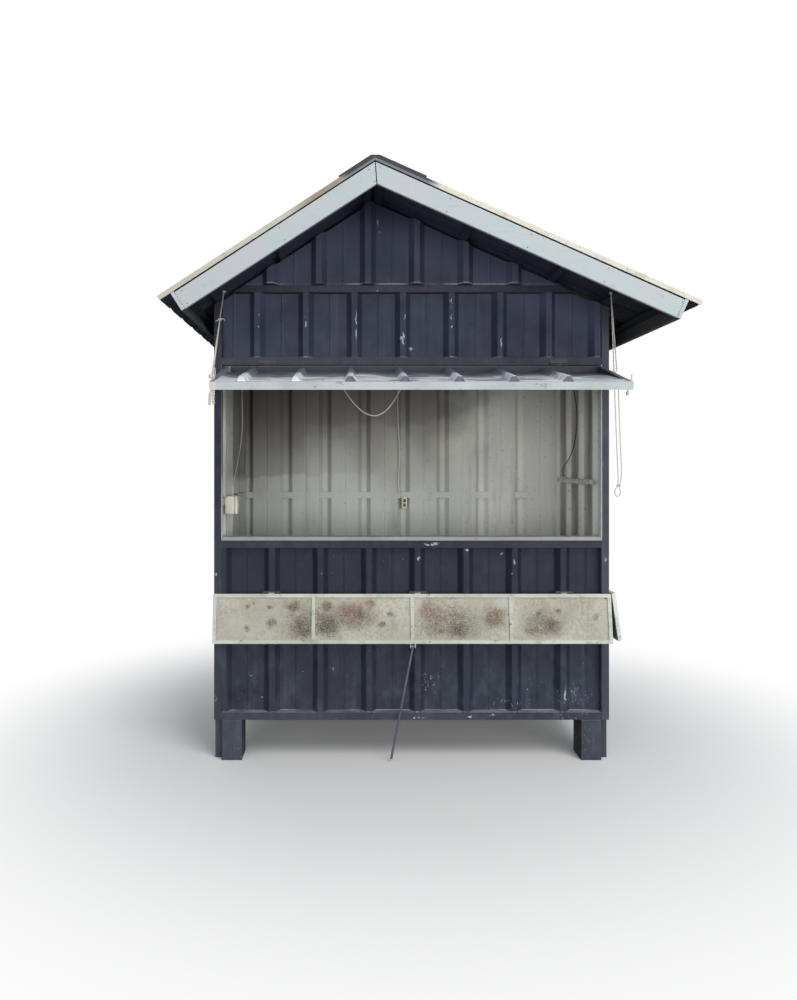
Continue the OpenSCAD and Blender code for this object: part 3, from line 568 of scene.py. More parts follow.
@dataclass(frozen=True)
class StripPaint:
    """Cream strip along the roof's edge, stained yellow and orange by leaves and rain, with painted shade
    under the ridge cap.
    """

    name: str = "verge_cream"

    def make(self) -> Material:
        """Builds the material.

        Returns:
            The material.
        """
        s = Shade(self.name)
        across = s.across
        colour = s.stain(paint((216, 212, 202)), (216, 208, 186), (0.4, 0.7, 1.0), 3.4, detail=4, rough=0.65)
        colour = s.lay(colour, (186, 182, 166), s.ramp(across, -0.7, -0.6, 0.7, 0.0))
        tan = s.times(s.ramp(across, -0.72, -0.52), s.fall(across, -0.42, -0.34))
        colour = s.lay(colour, (150, 138, 122), tan)
        colour = s.stain(colour, (176, 140, 108), (0.6, 0.74, 0.6), 4.2, detail=4, rough=0.7, offset=6.0)
        colour = s.stain(colour, (150, 146, 136), (0.5, 0.72, 0.6), 8, detail=4, offset=3.0)
        # Painted shade under the ridge cap: greyer across its span, with a thin dark line just below it, of
        # dirt and painted shadow.
        top = s.times(s.ramp(across, -0.42, -0.36), s.fall(across, -0.02, 0.06))
        colour = s.lay(colour, (118, 120, 130), top)
        below = below_roof(s)
        colour = s.lay(colour, (56, 56, 60), s.times(s.fall(below, -0.006, 0.0), top))
        rusty = s.ramp(s.noise(5, offset=27.0), 0.42, 0.6, 0.1, 0.8)
        colour = s.lay(colour, (158, 122, 88), s.times(s.ramp(below, 0.006, 0.013), rusty))
        colour = s.stain(colour, (112, 104, 90), (0.66, 0.7, 0.6), 150, detail=2, offset=8.0)
        return s.cover(Base_Color=colour, Roughness=0.7, Normal=s.bump(s.noise(90), 0.0012, 0.7))


@dataclass(frozen=True)
class RoofMetal:
    """Roof sheet, dull zinc with leaf stains and rust on top, and dark underneath, with painted light and
    shade there.
    """

    name: str = "roof_zinc"

    def make(self) -> Material:
        """Builds the material.

        Returns:
            The material.
        """
        s = Shade(self.name)
        top = s.clouded((150, 151, 146), (176, 177, 172), 2.4, detail=4)
        leaf = s.ramp(s.noise(9, detail=5, rough=0.65, offset=4.0), 0.52, 0.66, 0.0, 0.7)
        top = s.lay(top, (112, 104, 82), leaf)
        top = s.stain(top, (132, 92, 64), (0.6, 0.7, 0.8), 5, (1, 2, 1), detail=5, rough=0.7, offset=9.0)
        # Underside: painted light near the ridge and painted shade toward the eaves.
        away = s.maths("ABSOLUTE", s.minus(s.across, RIDGE))
        near = s.lay(paint((74, 76, 98)), (66, 68, 86), s.ramp(away, 0.1, 1.2))
        under = s.lay(near, (48, 48, 58), s.ramp(away, 1.0, 1.25))
        under = s.stain(under, (56, 53, 58), (0.45, 0.7, 0.3), 6, detail=4, offset=2.0)
        colour = s.mix(s.fall(s.upward, -0.1, 0.1), top, under)
        rough = s.wander(0.42, 0.66, 30, offset=1.0)
        skin = s.bump(leaf, 0.0008, 0.6, s.bump(s.noise(3.2, offset=5.0), 0.006))
        return s.cover(Base_Color=colour, Roughness=rough, Normal=skin, Metallic=0.25)


@dataclass(frozen=True)
class AwningPaint:
    """Awning bars: pale grey front bar with rust and chips, dark side and rear bars."""

    name: str = "awning_bars"
    front_y: float = -0.952
    left_x: float = -0.975

    def make(self) -> Material:
        """Builds the material.

        Returns:
            The material.
        """
        s = Shade(self.name)
        pale = s.clouded((186, 193, 194), (201, 207, 207), 5)
        left = s.fall(s.across, self.left_x, self.left_x + 0.004)
        pale = s.lay(pale, (214, 214, 214), left)
        front = s.fall(s.deep, self.front_y - 0.002, self.front_y + 0.002)
        side = s.lay(paint((56, 59, 69)), (150, 150, 158), left)
        side = s.lay(side, (132, 136, 150), s.ramp(s.upward, 0.5, 0.9))
        colour = s.mix(front, side, pale)
        rust = s.ramp(s.noise(24, (0.5, 1, 1), detail=5, rough=0.7, offset=3.0), 0.6, 0.68, 0.0, 0.7)
        rust = s.times(rust, front)
        colour = s.lay(colour, (136, 124, 108), rust)
        colour = s.stain(colour, (120, 122, 120), (0.62, 0.7, 0.6), 40, (0.06, 1, 1), offset=8.0)
        edge = s.edges((0.5, 0.6), 22, offset=2.0)
        colour = s.lay(colour, (170, 172, 170), s.times(edge, front))
        skin = s.bump(rust, -0.0005, 1.0, s.bump(s.noise(130), 0.0004, 0.5))
        return s.cover(Base_Color=colour, Roughness=0.5, Normal=skin)


@dataclass(frozen=True)
class AwningMetal:
    """Awning sheet: bare silver steel, white with water stains and painted light towards the front edge,
    greyer to the rear with painted shade of the eaves.
    """

    name: str = "awning_silver"
    front_y: float = -0.97

    def make(self) -> Material:
        """Builds the material.

        Returns:
            The material.
        """
        s = Shade(self.name)
        front, deep = self.front_y, s.deep
        # Painted light at the front and painted shade of the eaves toward the rear, along a wavy line.
        line = s.plus(deep, s.wander(-0.1, 0.1, 3.4, (1, 0.3, 0.2), detail=2, offset=4.0))
        shade = s.ramp(line, front + 0.16, front + 0.28)
        colour = s.lay(paint((196, 205, 215)), (140, 148, 160), shade)
        colour = s.lay(colour, (100, 106, 120), s.ramp(line, front + 0.31, front + 0.37))
        # White streaks near the front: water stains and painted sheen.
        drops = s.ramp(s.noise(8, (0.5, 2.2, 0.2), offset=6.0), 0.38, 0.46)
        dried_water_and_sheen = s.times(drops, s.fall(line, front + 0.2, front + 0.27))
        colour = s.lay(colour, (248, 251, 253), dried_water_and_sheen)
        # Darker grey patches, stronger toward the front.
        patches = s.ramp(s.noise(6, (0.6, 2.5, 0.2), detail=2, offset=31.0), 0.52, 0.6)
        patchy_spots = s.times(patches, s.ramp(deep, front + 0.02, front + 0.3, 0.9, 0.4))
        colour = s.lay(colour, (104, 114, 127), patchy_spots)
        # Rib crowns: painted light at the front, painted shade of the eaves toward the rear.
        crown = s.lay(paint((238, 243, 247)), (112, 116, 128), s.ramp(deep, front + 0.1, front + 0.19))
        colour = s.mix(s.times(s.named("rib"), 0.85), colour, crown)
        fleck = s.ramp(s.noise(60, (1, 0.3, 1), detail=4, offset=7.0), 0.5, 0.75, 0.0, 0.3)
        colour = s.lay(colour, (176, 182, 186), fleck)
        # Painted light: a pale underside, to lighten the hollows under the ribs.
        colour = s.lay(colour, (208, 212, 220), s.fall(s.upward, -0.1, 0.1))
        rough = s.wander(0.4, 0.55, 18, offset=2.0)
        dents = s.bump(s.noise(6, (1, 0.6, 0.6), detail=2, offset=5.0), 0.006)
        skin = s.bump(fleck, 0.0003, 0.5, dents)
        return s.cover(Base_Color=colour, Roughness=rough, Metallic=0.05, Specular_IOR_Level=0.1, Normal=skin)


@dataclass(frozen=True)
class LedgePaint:
    """Cream paint with a green cast on the ledge bars, thick and dirty, with rust at the joints."""

    name: str = "ledge_cream"
    tone: Colour = (186, 187, 176)
    pale: Colour = (204, 204, 194)
    knuckle: float = 0.8665

    def make(self) -> Material:
        """Builds the material.

        Returns:
            The material.
        """
        s = Shade(self.name)
        colour = s.clouded(self.tone, self.pale, 4)
        colour = s.stain(colour, (140, 134, 118), (0.52, 0.7, 0.6), 17, detail=5, rough=0.65, offset=4.0)
        colour = s.lay(colour, (112, 106, 94), s.edges((0.5, 0.62, 0.0, 0.8), 14, offset=3.0))
        colour = s.stain(colour, (104, 74, 54), (0.66, 0.7, 0.8), 34, detail=4, offset=9.0)
        colour = s.lay(colour, (72, 74, 84), s.ramp(s.high, self.knuckle, self.knuckle + 0.001))
        return s.cover(Base_Color=colour, Roughness=0.55, Normal=s.bump(s.noise(90), 0.0006, 0.6))


@dataclass(frozen=True)
class LedgeBoard:
    """Beige boards, bleached and blotched with brown and black mould."""

    name: str
    blotches: tuple[Mark, ...] = ()
    rusty: tuple[Mark, ...] = ()
    clouds: tuple[Mark, ...] = ()

    def make(self) -> Material:
        """Builds the material.

        Returns:
            The material.
        """
        s = Shade(self.name)
        colour = s.clouded((176, 173, 159), (194, 191, 178), 5, detail=4)
        fine = s.noise(210, rough=0.7, offset=8.0)
        patchy = s.ramp(s.noise(5, offset=33.0), 0.4, 0.6, 0.15, 0.6)
        grain = s.times(s.ramp(s.noise(70, detail=4, rough=0.75, offset=23.0), 0.42, 0.66), patchy)
        colour = s.lay(colour, (146, 139, 124), grain)
        colour = s.stain(colour, (148, 144, 132), (0.5, 0.7, 0.4), 16, (1, 1, 0.7), detail=4, offset=5.0)
        cloud = s.ramp(s.noise(6, rough=0.6, offset=3.0), 0.35, 0.7, -0.08, 0.05)
        if self.blotches:
            layers = (
                (self.clouds, (138, 126, 113), 0.8),
                (self.rusty, (146, 120, 106), 0.8),
                (self.blotches, (112, 105, 95), 0.7),
            )
            for spots, tone, dark in layers:
                soft = s.ramp(s.near(spots, 0.07, 12.0), 0.35, 1.3, dark, 0.0)
                cloudy = s.ramp(s.noise(34, detail=5, rough=0.75, offset=dark), 0.35, 0.62, 0.35, 1.0)
                colour = s.lay(colour, tone, s.times(soft, cloudy))
        peel = s.ramp(s.noise(42, (1, 1, 0.7), detail=4, rough=0.75, offset=13.0), 0.6, 0.68, 0.0, 0.6)
        colour = s.lay(colour, (204, 201, 190), peel)
        mould = s.ramp(s.plus(fine, cloud), 0.56, 0.64, 0.0, 0.55)
        colour = s.lay(colour, (108, 99, 86), mould)
        if self.blotches:
            specks = (
                (self.clouds, (84, 76, 66), 0.09),
                (self.blotches, (58, 54, 52), 0.11),
                (self.rusty, (108, 82, 68), 0.09),
            )
            for spots, tone, lift in specks:
                ring = s.ramp(s.near(spots, 0.07, 18.0), 0.3, 1.3, lift, -0.12)
                colour = s.lay(colour, tone, s.ramp(s.plus(fine, ring), 0.55, 0.64, 0.0, 0.7))
        height = s.minus(peel, mould)
        return s.cover(Base_Color=colour, Roughness=0.75, Normal=s.bump(height, 0.0008, 0.7))


@dataclass(frozen=True)
class PlainCoat:
    """A small part's own colour, clouded and grimy, with its own gloss."""

    name: str
    tone: Colour
    dirt: Colour
    grime: float = 0.4
    rough: float = 0.5
    metal: float = 0.0
    scale: float = 30.0
    depth: float = 0.0004

    def make(self) -> Material:
        """Builds the material.

        Returns:
            The material.
        """
        s = Shade(self.name)
        cloud = s.noise(self.scale, detail=4, rough=0.65)
        colour = s.lay(paint(self.tone), self.dirt, s.ramp(cloud, 0.45, 0.75, 0.0, self.grime))
        colour = s.lay(colour, self.dirt, s.edges((0.45, 0.6, 0.0, 0.8), 40, offset=3.0))
        rough = s.ramp(cloud, 0.3, 0.7, self.rough - 0.08, self.rough + 0.1)
        normal = s.bump(s.noise(self.scale * 6, detail=2), self.depth, 0.6)
        return s.cover(Base_Color=colour, Roughness=rough, Metallic=self.metal, Normal=normal)


def steel(name: str, *looks: object, **more: object) -> Material:
    """Material of a painted steel piece."""
    return SteelPaint(name, *looks, **more).make()


def coat(name: str, tone: Colour, dirt: Colour, **numbers: float) -> Material:
    """Material of a small part."""
    return PlainCoat(name, tone, dirt, **numbers).make()


class Finishes:
    """Every material of the kiosk, made once."""

    def __init__(self) -> None:
        """Makes the materials."""
        upper = marks(
            (-286, 2246, 4, 100), (-35, 2286, 4, 16), (-44, 2180, 8, 40), (-56, 2182, 8, 14),
            (-2, 2127, 11, 10), (-788, 2300, 5, 6), (-793, 2239, 5, 5), (203, 2360, 5, 30),
            (205, 2290, 4, 22), (206, 2238, 4, 8), (463, 2150, 4, 38), (-546, 2262, 4, 34),
        )
        lower = marks(
            (36, 1042, 10, 12), (283, 1087, 13, 10), (474, 1063, 8, 6), (532, 1021, 4, 20),
            (518, 965, 4, 4), (-463, 965, 4, 4), (792, 342, 5, 40), (606, 358, 4, 5),
            (-406, 466, 6, 5), (-834, 425, 7, 6), (-566, 446, 5, 4), (-777, 311, 5, 7),
        )
        gable = marks((-176, 2776, 5, 20), (-168, 2727, 5, 6))
        rails = marks(
            (-180, 2424, 9, 6), (105, 1116, 48, 7), (38, 218, 44, 6), (-1009, 960, 5, 10),
            (-1009, 316, 5, 14), (1000, 1040, 4, 20), (300, 224, 16, 4), (420, 232, 12, 4),
        )
        self.upper_front = steel(
            "navy_upper_front", Side.FRONT, (58, 65, 83), (49, 54, 71), marks=upper, seams=(2082.0,),
            sheltered=True,
        )
        splashes = marks((820, 330, 180, 90), (520, 290, 200, 50), (90, 400, 90, 90))
        # Stains low on the left, and one broad mark that darkens the lower wall, most near the sill.
        stains = marks(
            (-872, 356, 70, 40), (-910, 330, 40, 30), (-820, 330, 40, 26), (-870, 300, 60, 22),
            (0, 1000, 3000, 560),
        )
        self.lower_front = steel(
            "navy_lower_front", Side.FRONT, (50, 54, 66), marks=lower, splashes=splashes, stains=stains,
            seams=(249.5,),
        )
        self.gable_front = steel(
            "navy_gable_front", Side.FRONT, (60, 67, 85), (52, 57, 73), marks=gable, seams=(2458.0,),
            sheltered=True,
        )
        self.rear = steel("navy_rear", Side.REAR)
        self.left = steel("navy_left", Side.LEFT, clean=True)
        self.right = steel("navy_right", Side.RIGHT)
        wet = marks((820, 228, 240, 24), (400, 232, 150, 20))
        tones = {"tone": (64, 66, 78), "deep": (54, 55, 67)}
        self.bars = steel("navy_bars", marks=rails, splashes=wet, **tones)
        window = {"marks": rails, "opening": (1.134, 2.04)}
        # Painted light and shade on the front posts: the left one painted darker, most about its middle, and
        # the right one lighter.
        dim = marks((-1000, 1500, 3000, 520))
        self.left_post = steel("navy_left_post", Side.LEFT, (58, 61, 72), (50, 52, 63), stains=dim, **window)
        self.right_post = steel("navy_right_post", Side.RIGHT, (72, 76, 88), (62, 65, 76), **window)
        # Painted shade: the sill rail darker than the other bars, under the sill cap.
        self.sill = steel("navy_sill", marks=rails, tone=(50, 51, 62), deep=(44, 45, 55))
        patchy_spots = marks((900, 120, 90, 110), (-900, 60, 90, 60))
        self.legs = steel("navy_legs", tone=(71, 75, 86), deep=(60, 65, 76), splashes=patchy_spots)
        self.hinge = coat("hinge_navy", (56, 58, 70), (78, 76, 84), grime=0.5)
        self.rear_bars = steel("navy_rear_bars", Side.REAR, **tones)
        self.left_bars = steel("navy_left_bars", Side.LEFT, **tones)
        self.rear_left_post = steel("navy_rear_left_post", Side.REAR_LEFT, **tones)
        self.rear_right_post = steel("navy_rear_right_post", Side.REAR_RIGHT, **tones)
        self.rafters = coat("rafter_dark", (52, 54, 69), (48, 48, 58), grime=0.5, rough=0.6, scale=9.0)
        self.inside = InsideCoat().make()
        self.barge = BoardPaint("barge_pale", grain=(0.2, 1, 1), rim=(140, 143, 142)).make()
        self.eave = BoardPaint("eave_pale", grain=(1, 0.08, 1), stains=0.45, shady=True).make()
        self.counter = BoardPaint(
            "counter_pale", (148, 149, 153), (160, 160, 160), (104, 102, 100), (0.1, 1, 1), stains=0.6
        ).make()
        self.worktop = BoardPaint(
            "worktop_board", (168, 160, 146), (184, 176, 162), (96, 84, 70), (0.08, 1, 1), stains=0.6
        ).make()
        self.verge = StripPaint().make()
        self.roof = RoofMetal().make()
        self.cap = coat("cap_dark", (44, 44, 48), (78, 72, 66), grime=0.6, rough=0.6, scale=9.0, depth=0.0008)
        self.awning_bars = AwningPaint().make()
        self.awning_sheet = AwningMetal().make()
        self.ledge_bars = LedgePaint().make()
        # Painted light: the side ledge's bars in a paler copy of the ledge paint.
        self.side_ledge_bars = LedgePaint("side_ledge_pale", (214, 220, 216), (228, 233, 229)).make()
        blotches = marks(
            (-564, 687, 67, 62), (-431, 708, 72, 67), (-719, 715, 31, 31), (-729, 790, 18, 15),
            (-847, 800, 15, 15), (-842, 697, 18, 18), (-811, 816, 10, 10), (-606, 800, 46, 36),
            (-431, 805, 41, 36), (-267, 764, 26, 23), (-154, 708, 23, 18), (-118, 764, 21, 18),
            (231, 679, 51, 41), (714, 708, 36, 36), (650, 769, 21, 13), (750, 774, 18, 13),
            (935, 744, 21, 15), (201, 844, 26, 8), (719, 844, 21, 8), (989, 844, 10, 8),
        )
        rusty = marks(
            (416, 744, 51, 46), (137, 672, 31, 18), (83, 780, 56, 56), (-210, 810, 41, 26),
            (611, 677, 41, 23), (-318, 769, 72, 62),
        )
        clouds = marks(
            (-494, 715, 190, 100), (-300, 745, 150, 80), (185, 715, 200, 110), (671, 710, 110, 80),
            (420, 745, 90, 70),
        )
        self.ledge_boards = LedgeBoard("ledge_mould", blotches, rusty, clouds).make()
        self.side_boards = LedgeBoard("side_ledge_mould").make()
        self.rod = coat("rod_grey", (92, 93, 104), (128, 128, 136), grime=0.5, scale=20.0)
        self.rope = coat("rope_offwhite", (210, 204, 192), (158, 146, 130), grime=0.5, rough=0.85, scale=60.0)
        self.white_cable = coat("cable_white", (228, 226, 216), (176, 168, 152), scale=24.0)
        self.black_cable = coat("cable_black", (38, 38, 40), (86, 82, 76), scale=24.0)
        self.plastic = coat("switch_cream", (224, 220, 206), (160, 148, 128), rough=0.42, scale=22.0)
        self.seam = coat("seam_grey", (92, 88, 82), (60, 56, 52), grime=0.5, rough=0.6)
        self.lamp = coat("lamp_white", (222, 222, 216), (170, 166, 150), rough=0.3, scale=14.0, depth=0.0001)
        # Rib end tabs: pale as painted light in the hollows, grey as painted shade.
        self.lit_hollow_tab = coat("rib_end_pale", (232, 240, 243), (178, 188, 194), grime=0.5, scale=60.0)
        self.shaded_hollow_tab = coat("rib_end_grey", (104, 108, 120), (70, 74, 84), grime=0.7, scale=60.0)
        self.tube_end = coat("tube_end_dull", (150, 146, 138), (108, 102, 94), grime=0.5)
        self.zinc = coat(
            "fastener_zinc", (150, 150, 148), (112, 82, 62), grime=0.7, rough=0.45, metal=0.6, scale=50.0
        )
        self.nail = coat("nail_rust", (92, 76, 64), (60, 48, 42), grime=0.7, rough=0.6, metal=0.3, scale=80.0)
        self.weld = coat(
            "weld_painted", (70, 68, 76), (120, 116, 112), grime=0.5, metal=0.1, scale=90.0, depth=0.001
        )


# Mesh making


def new_object(name: str, mesh: Mesh) -> Object:
    """Puts a mesh in the scene as an object at the origin.

    Args:
        name: the object's name.
        mesh: its mesh.

    Returns:
        The new object.
    """
    made = bpy.data.objects.new(name, mesh)
    bpy.context.scene.collection.objects.link(made)
    return made


def mesh_of(
    name: str, points: list[Vector], faces: list[tuple[int, ...]], edges: list[tuple[int, int]] | None = None
) -> Mesh:
    """A mesh from its points and faces, or its edges.

    Args:
        name: the mesh's name.
        points: its points, in metres.
        faces: point numbers of each face.
        edges: point numbers of each edge, where there are no faces.

    Returns:
        The new mesh.
    """
    mesh = bpy.data.meshes.new(name)
    mesh.from_pydata([tuple(p) for p in points], edges or [], faces)
    mesh.update()
    return mesh


def smooth_line(points: list[Vector], step: float) -> list[Vector]:
    """Points close together on a smooth curve through the given ones.

    Args:
        points: places along the line.
        step: about how far apart the new points are, in metres.

    Returns:
        The new points, first and last as given.
    """
    line = [points[0]]
    for i in range(len(points) - 1):
        a, b = points[i], points[i + 1]
        before = points[i - 1] if i else a + (a - b)
        after = points[i + 2] if i + 2 < len(points) else b + (b - a)
        count = max(1, round((b - a).length / step))
        scale = (b - a).length
        start = (b - before).normalized() * scale
        end = (after - a).normalized() * scale
        for k in range(1, count + 1):
            t = k / count
            line.append(
                (2 * t**3 - 3 * t**2 + 1) * a + (t**3 - 2 * t**2 + t) * start
                + (3 * t**2 - 2 * t**3) * b + (t**3 - t**2) * end
            )
    return line


def dress(node: str, finish: Material) -> Object:
    """Gives a CAD node its finish.

    Args:
        node: the CAD node.
        finish: the material.

    Returns:
        The node's object.
    """
    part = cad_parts[node]
    part.data.materials.clear()
    part.data.materials.append(finish)
    return part


@dataclass(frozen=True)
class Softening:
    """How the sharp edges of a CAD solid are rounded: by what width, and between which angles."""

    width: float = 0.0025
    segments: int = 2
    least: float = 30.0
    most: float = 180.0

    def copy_of(self, node: str, finish: Material, slot: str = STEEL, body: str = "kiosk") -> Object:
        """A rounded copy of a CAD node, which it replaces.

        Args:
            node: the CAD node.
            finish: the material.
            slot: the record's slot.
            body: the body it rides on.

        Returns:
            The new piece. Its rounded faces carry the value "edge".
        """
        work = bmesh.new()
        work.from_mesh(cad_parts[node].data)
        bmesh.ops.remove_doubles(work, verts=work.verts, dist=2e-5)
        bmesh.ops.dissolve_limit(work, angle_limit=math.radians(0.6), verts=work.verts, edges=work.edges)
        edges = [
            e for e in work.edges
            if e.is_manifold and self.least < math.degrees(e.calc_face_angle(0.0)) < self.most
        ]
        made = bmesh.ops.bevel(
            work, geom=edges, offset=self.width, segments=self.segments, profile=0.5, affect="EDGES",
            clamp_overlap=True,
        )
        layer = work.faces.layers.float.new("edge")
        for face in made["faces"]:
            if face.is_valid and face.calc_area() > 0:
                face[layer] = 1.0
        bmesh.ops.triangulate(work, faces=[f for f in work.faces if len(f.verts) > 4])
        mesh = bpy.data.meshes.new(node + "_rounded")
        work.to_mesh(mesh)
        work.free()
        mesh.materials.append(finish)
        piece = new_object(node + "_rounded", mesh)
        return seat(piece, body, slot, node)


def seat(piece: Object, body: str, slot: str, *nodes: str) -> Object:
    """Sets a piece on its body, in place of the CAD nodes it stands for.

    Args:
        piece: the piece.
        body: the body it rides on.
        slot: not used.
        nodes: the CAD nodes that it stands for.

    Returns:
        The same piece.
    """
    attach(piece, body)
    if nodes:
        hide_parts(*nodes)
    LOG.info("%s rides on %s", piece.name, body)
    return piece


class Recipe(Graph):
    """A Geometry Nodes tree with named inputs, and the call that grows a piece by it."""

    def __init__(self, name: str, *sizes: str) -> None:
        """Makes the tree with its inputs: the sizes, the finish and a seed.

        Args:
            name: the tree's name.
            sizes: the names of its sizes.
        """
        super().__init__(bpy.data.node_groups.new(name, "GeometryNodeTree"))
        self.labels: dict[str, str] = {}
        face = self.tree.interface
        face.new_socket(name="Geometry", in_out="INPUT", socket_type="NodeSocketGeometry")
        face.new_socket(name="Geometry", in_out="OUTPUT", socket_type="NodeSocketGeometry")
        kinds = {**dict.fromkeys(sizes, "Float"), "Finish": "Material", "Seed": "Int"}
        for label, kind in kinds.items():
            socket = face.new_socket(name=label, in_out="INPUT", socket_type="NodeSocket" + kind)
            self.labels[label] = socket.identifier
        self.start = self.add("NodeGroupInput")
        self.end = self.add("NodeGroupOutput")

    def close(self, geometry: Socket) -> None:
        """Ends the tree: instances made real, finish set.

        Args:
            geometry: what the tree has made.
        """
        real = self.add("GeometryNodeRealizeInstances", {0: geometry})
        inputs = {"Geometry": real.outputs[0], "Material": self.start.outputs["Finish"]}
        self.feed(self.end.inputs[0], self.first("GeometryNodeSetMaterial", inputs))

    def random(self, low: float, high: float) -> Socket:
        """A value drawn between two, by the tree's seed."""
        inputs = {2: low, 3: high, "Seed": self.start.outputs["Seed"]}
        return self.add("FunctionNodeRandomValue", inputs, data_type="FLOAT").outputs[1]

    def circle(self, corners: int, radius: object) -> Socket:
        """A circle to sweep or to set things on."""
        inputs = {"Resolution": corners, "Radius": radius}
        return self.first("GeometryNodeCurvePrimitiveCircle", inputs)

    def sweep(self, line: Socket, profile: Socket, **more: object) -> None:
        """Ends the tree with a closed, smooth skin of the profile along the line.

        Args:
            line: the curve to follow.
            profile: the section.
            more: more inputs of the sweep.
        """
        inputs = {"Curve": line, "Profile Curve": profile, "Fill Caps": True, **more}
        skin = self.first("GeometryNodeCurveToMesh", inputs)
        self.close(self.first("GeometryNodeSetShadeSmooth", {"Geometry": skin}))

    def grow(self, name: str, seed: Mesh, values: dict[str, object]) -> Object:
        """Grows a piece and makes it a plain mesh.

        Args:
            name: the piece's name.
            seed: the mesh that the tree starts from.
            values: a value for each named input.

        Returns:
            The new object, without modifiers.
        """
        piece = new_object(name, seed)
        grower = piece.modifiers.new("grow", "NODES")
        grower.node_group = self.tree
        for label, value in values.items():
            grower[self.labels[label]] = value
        piece.update_tag()
        bpy.context.view_layer.update()
        shown = piece.evaluated_get(bpy.context.evaluated_depsgraph_get())
        grown = bpy.data.meshes.new_from_object(shown)
        piece.modifiers.clear()
        piece.data = grown
        return piece


class Head(Enum):
    """Kinds of fastener head, each with how many corners it has all round."""

    HEX = 6
    DOME = 12
    NAIL = 9


class FastenerRecipe(Recipe):
    """Sets a head on every point of a mesh, standing along the point's own aim."""

    def __init__(self, head: Head) -> None:
        """Builds the tree for one kind of head.

        Args:
            head: the kind.
        """
        super().__init__("fastener_" + head.name.lower(), "Radius", "Height", "Washer")
        out = self.start.outputs
        if head is Head.DOME:
            inputs = {"Segments": head.value, "Rings": 6, "Radius": out["Radius"]}
            ball = self.first("GeometryNodeMeshUVSphere", inputs)
            flat = self.maths("DIVIDE", out["Height"], out["Radius"])
            size = self.first("ShaderNodeCombineXYZ", {0: 1.0, 1: 1.0, 2: flat})
            top = self.first("GeometryNodeTransform", {"Geometry": ball, "Scale": size})
        else:
            inputs = {"Vertices": head.value, "Radius": out["Radius"], "Depth": out["Height"]}
            stub = self.first("GeometryNodeMeshCylinder", inputs)
            half = self.maths("MULTIPLY", out["Height"], 0.5)
            lift = self.first("ShaderNodeCombineXYZ", {2: half})
            top = self.first("GeometryNodeTransform", {"Geometry": stub, "Translation": lift})
        inputs = {"Vertices": 14, "Radius": out["Washer"], "Depth": WASHER_DEPTH}
        plate = self.add("GeometryNodeMeshCylinder", inputs)
        both = self.add("GeometryNodeJoinGeometry")
        for part in (top, plate.outputs[0]):
            self.tree.links.new(part, both.inputs[0])
        aim = self.add("GeometryNodeInputNamedAttribute", {"Name": "aim"}, data_type="FLOAT_VECTOR")
        stand = self.first("FunctionNodeAlignRotationToVector", {"Vector": aim.outputs[0]}, axis="Z")
        turn = self.random(0.0, 6.28)
        spin = self.first("ShaderNodeCombineXYZ", {2: turn})
        euler = self.first("FunctionNodeEulerToRotation", {0: spin})
        facing = self.add("FunctionNodeRotateRotation", {0: stand, 1: euler}, rotation_space="LOCAL")
        inputs = {"Points": out["Geometry"], "Instance": both.outputs[0], "Rotation": facing.outputs[0]}
        self.close(self.first("GeometryNodeInstanceOnPoints", inputs))


class StrandRecipe(Recipe):
    """Lays a rope of three strands, or a plain cord, along the edges of a mesh."""

    def __init__(self, strands: int) -> None:
        """Builds the tree.

        Args:
            strands: how many strands are twisted together.
        """
        super().__init__(f"strands_{strands}", "Diameter", "Lay")
        out = self.start.outputs
        line = self.first("GeometryNodeMeshToCurve", {0: out["Geometry"]})
        profile = self.circle(10, self.scaled(0.5)) if strands == 1 else self.circles(strands)
        if strands > 1:
            run = self.add("GeometryNodeSplineParameter").outputs["Length"]
            angle = self.maths("MULTIPLY", self.maths("DIVIDE", run, out["Lay"]), math.tau)
            line = self.first("GeometryNodeSetCurveTilt", {"Curve": line, "Tilt": angle})
        self.sweep(line, profile)

    def scaled(self, share: float) -> Socket:
        """A share of the diameter."""
        return self.maths("MULTIPLY", self.start.outputs["Diameter"], share)

    def circles(self, strands: int) -> Socket:
        """Section of a laid rope: touching circles about its middle.

        Args:
            strands: how many circles stand about the middle.

        Returns:
            The socket of the section.
        """
        ring = self.circle(strands, self.scaled(0.25))
        points = self.first("GeometryNodeCurveToPoints", {"Curve": ring, "Count": strands})
        strand = self.circle(7, self.scaled(0.26))
        many = self.first("GeometryNodeInstanceOnPoints", {"Points": points, "Instance": strand})
        return self.first("GeometryNodeRealizeInstances", {0: many})


class BeadRecipe(Recipe):
    """Runs a lumpy weld bead along the edges of a mesh."""

    def __init__(self) -> None:
        """Builds the tree."""
        super().__init__("weld_bead", "Radius")
        out = self.start.outputs
        line = self.first("GeometryNodeMeshToCurve", {0: out["Geometry"]})
        inputs = {"Curve": line, "Length": BEAD_STEP}
        close = self.first("GeometryNodeResampleCurve", inputs, mode="LENGTH")
        self.sweep(close, self.circle(6, out["Radius"]), Scale=self.random(0.7, 1.15))


@dataclass(frozen=True)
class Fastener:
    """One kind of fastener: its head, with its radius, height and washer in metres."""

    head: Head
    radius: float
    height: float
    washer: float


TACK = Fastener(Head.DOME, 0.0045, 0.0025, 0.003)
GABLE_RIVET = Fastener(Head.DOME, 0.0032, 0.0016, 0.0045)
ROOF_SCREW = Fastener(Head.HEX, 0.0055, 0.006, 0.010)
BARGE_NAIL = Fastener(Head.NAIL, 0.0024, 0.001, 0.0026)
AWNING_RIVET = Fastener(Head.DOME, 0.0035, 0.002, 0.005)
AWNING_SCREW = Fastener(Head.DOME, 0.004, 0.0018, 0.0045)
LEDGE_SCREW = Fastener(Head.DOME, 0.004, 0.0015, 0.0045)


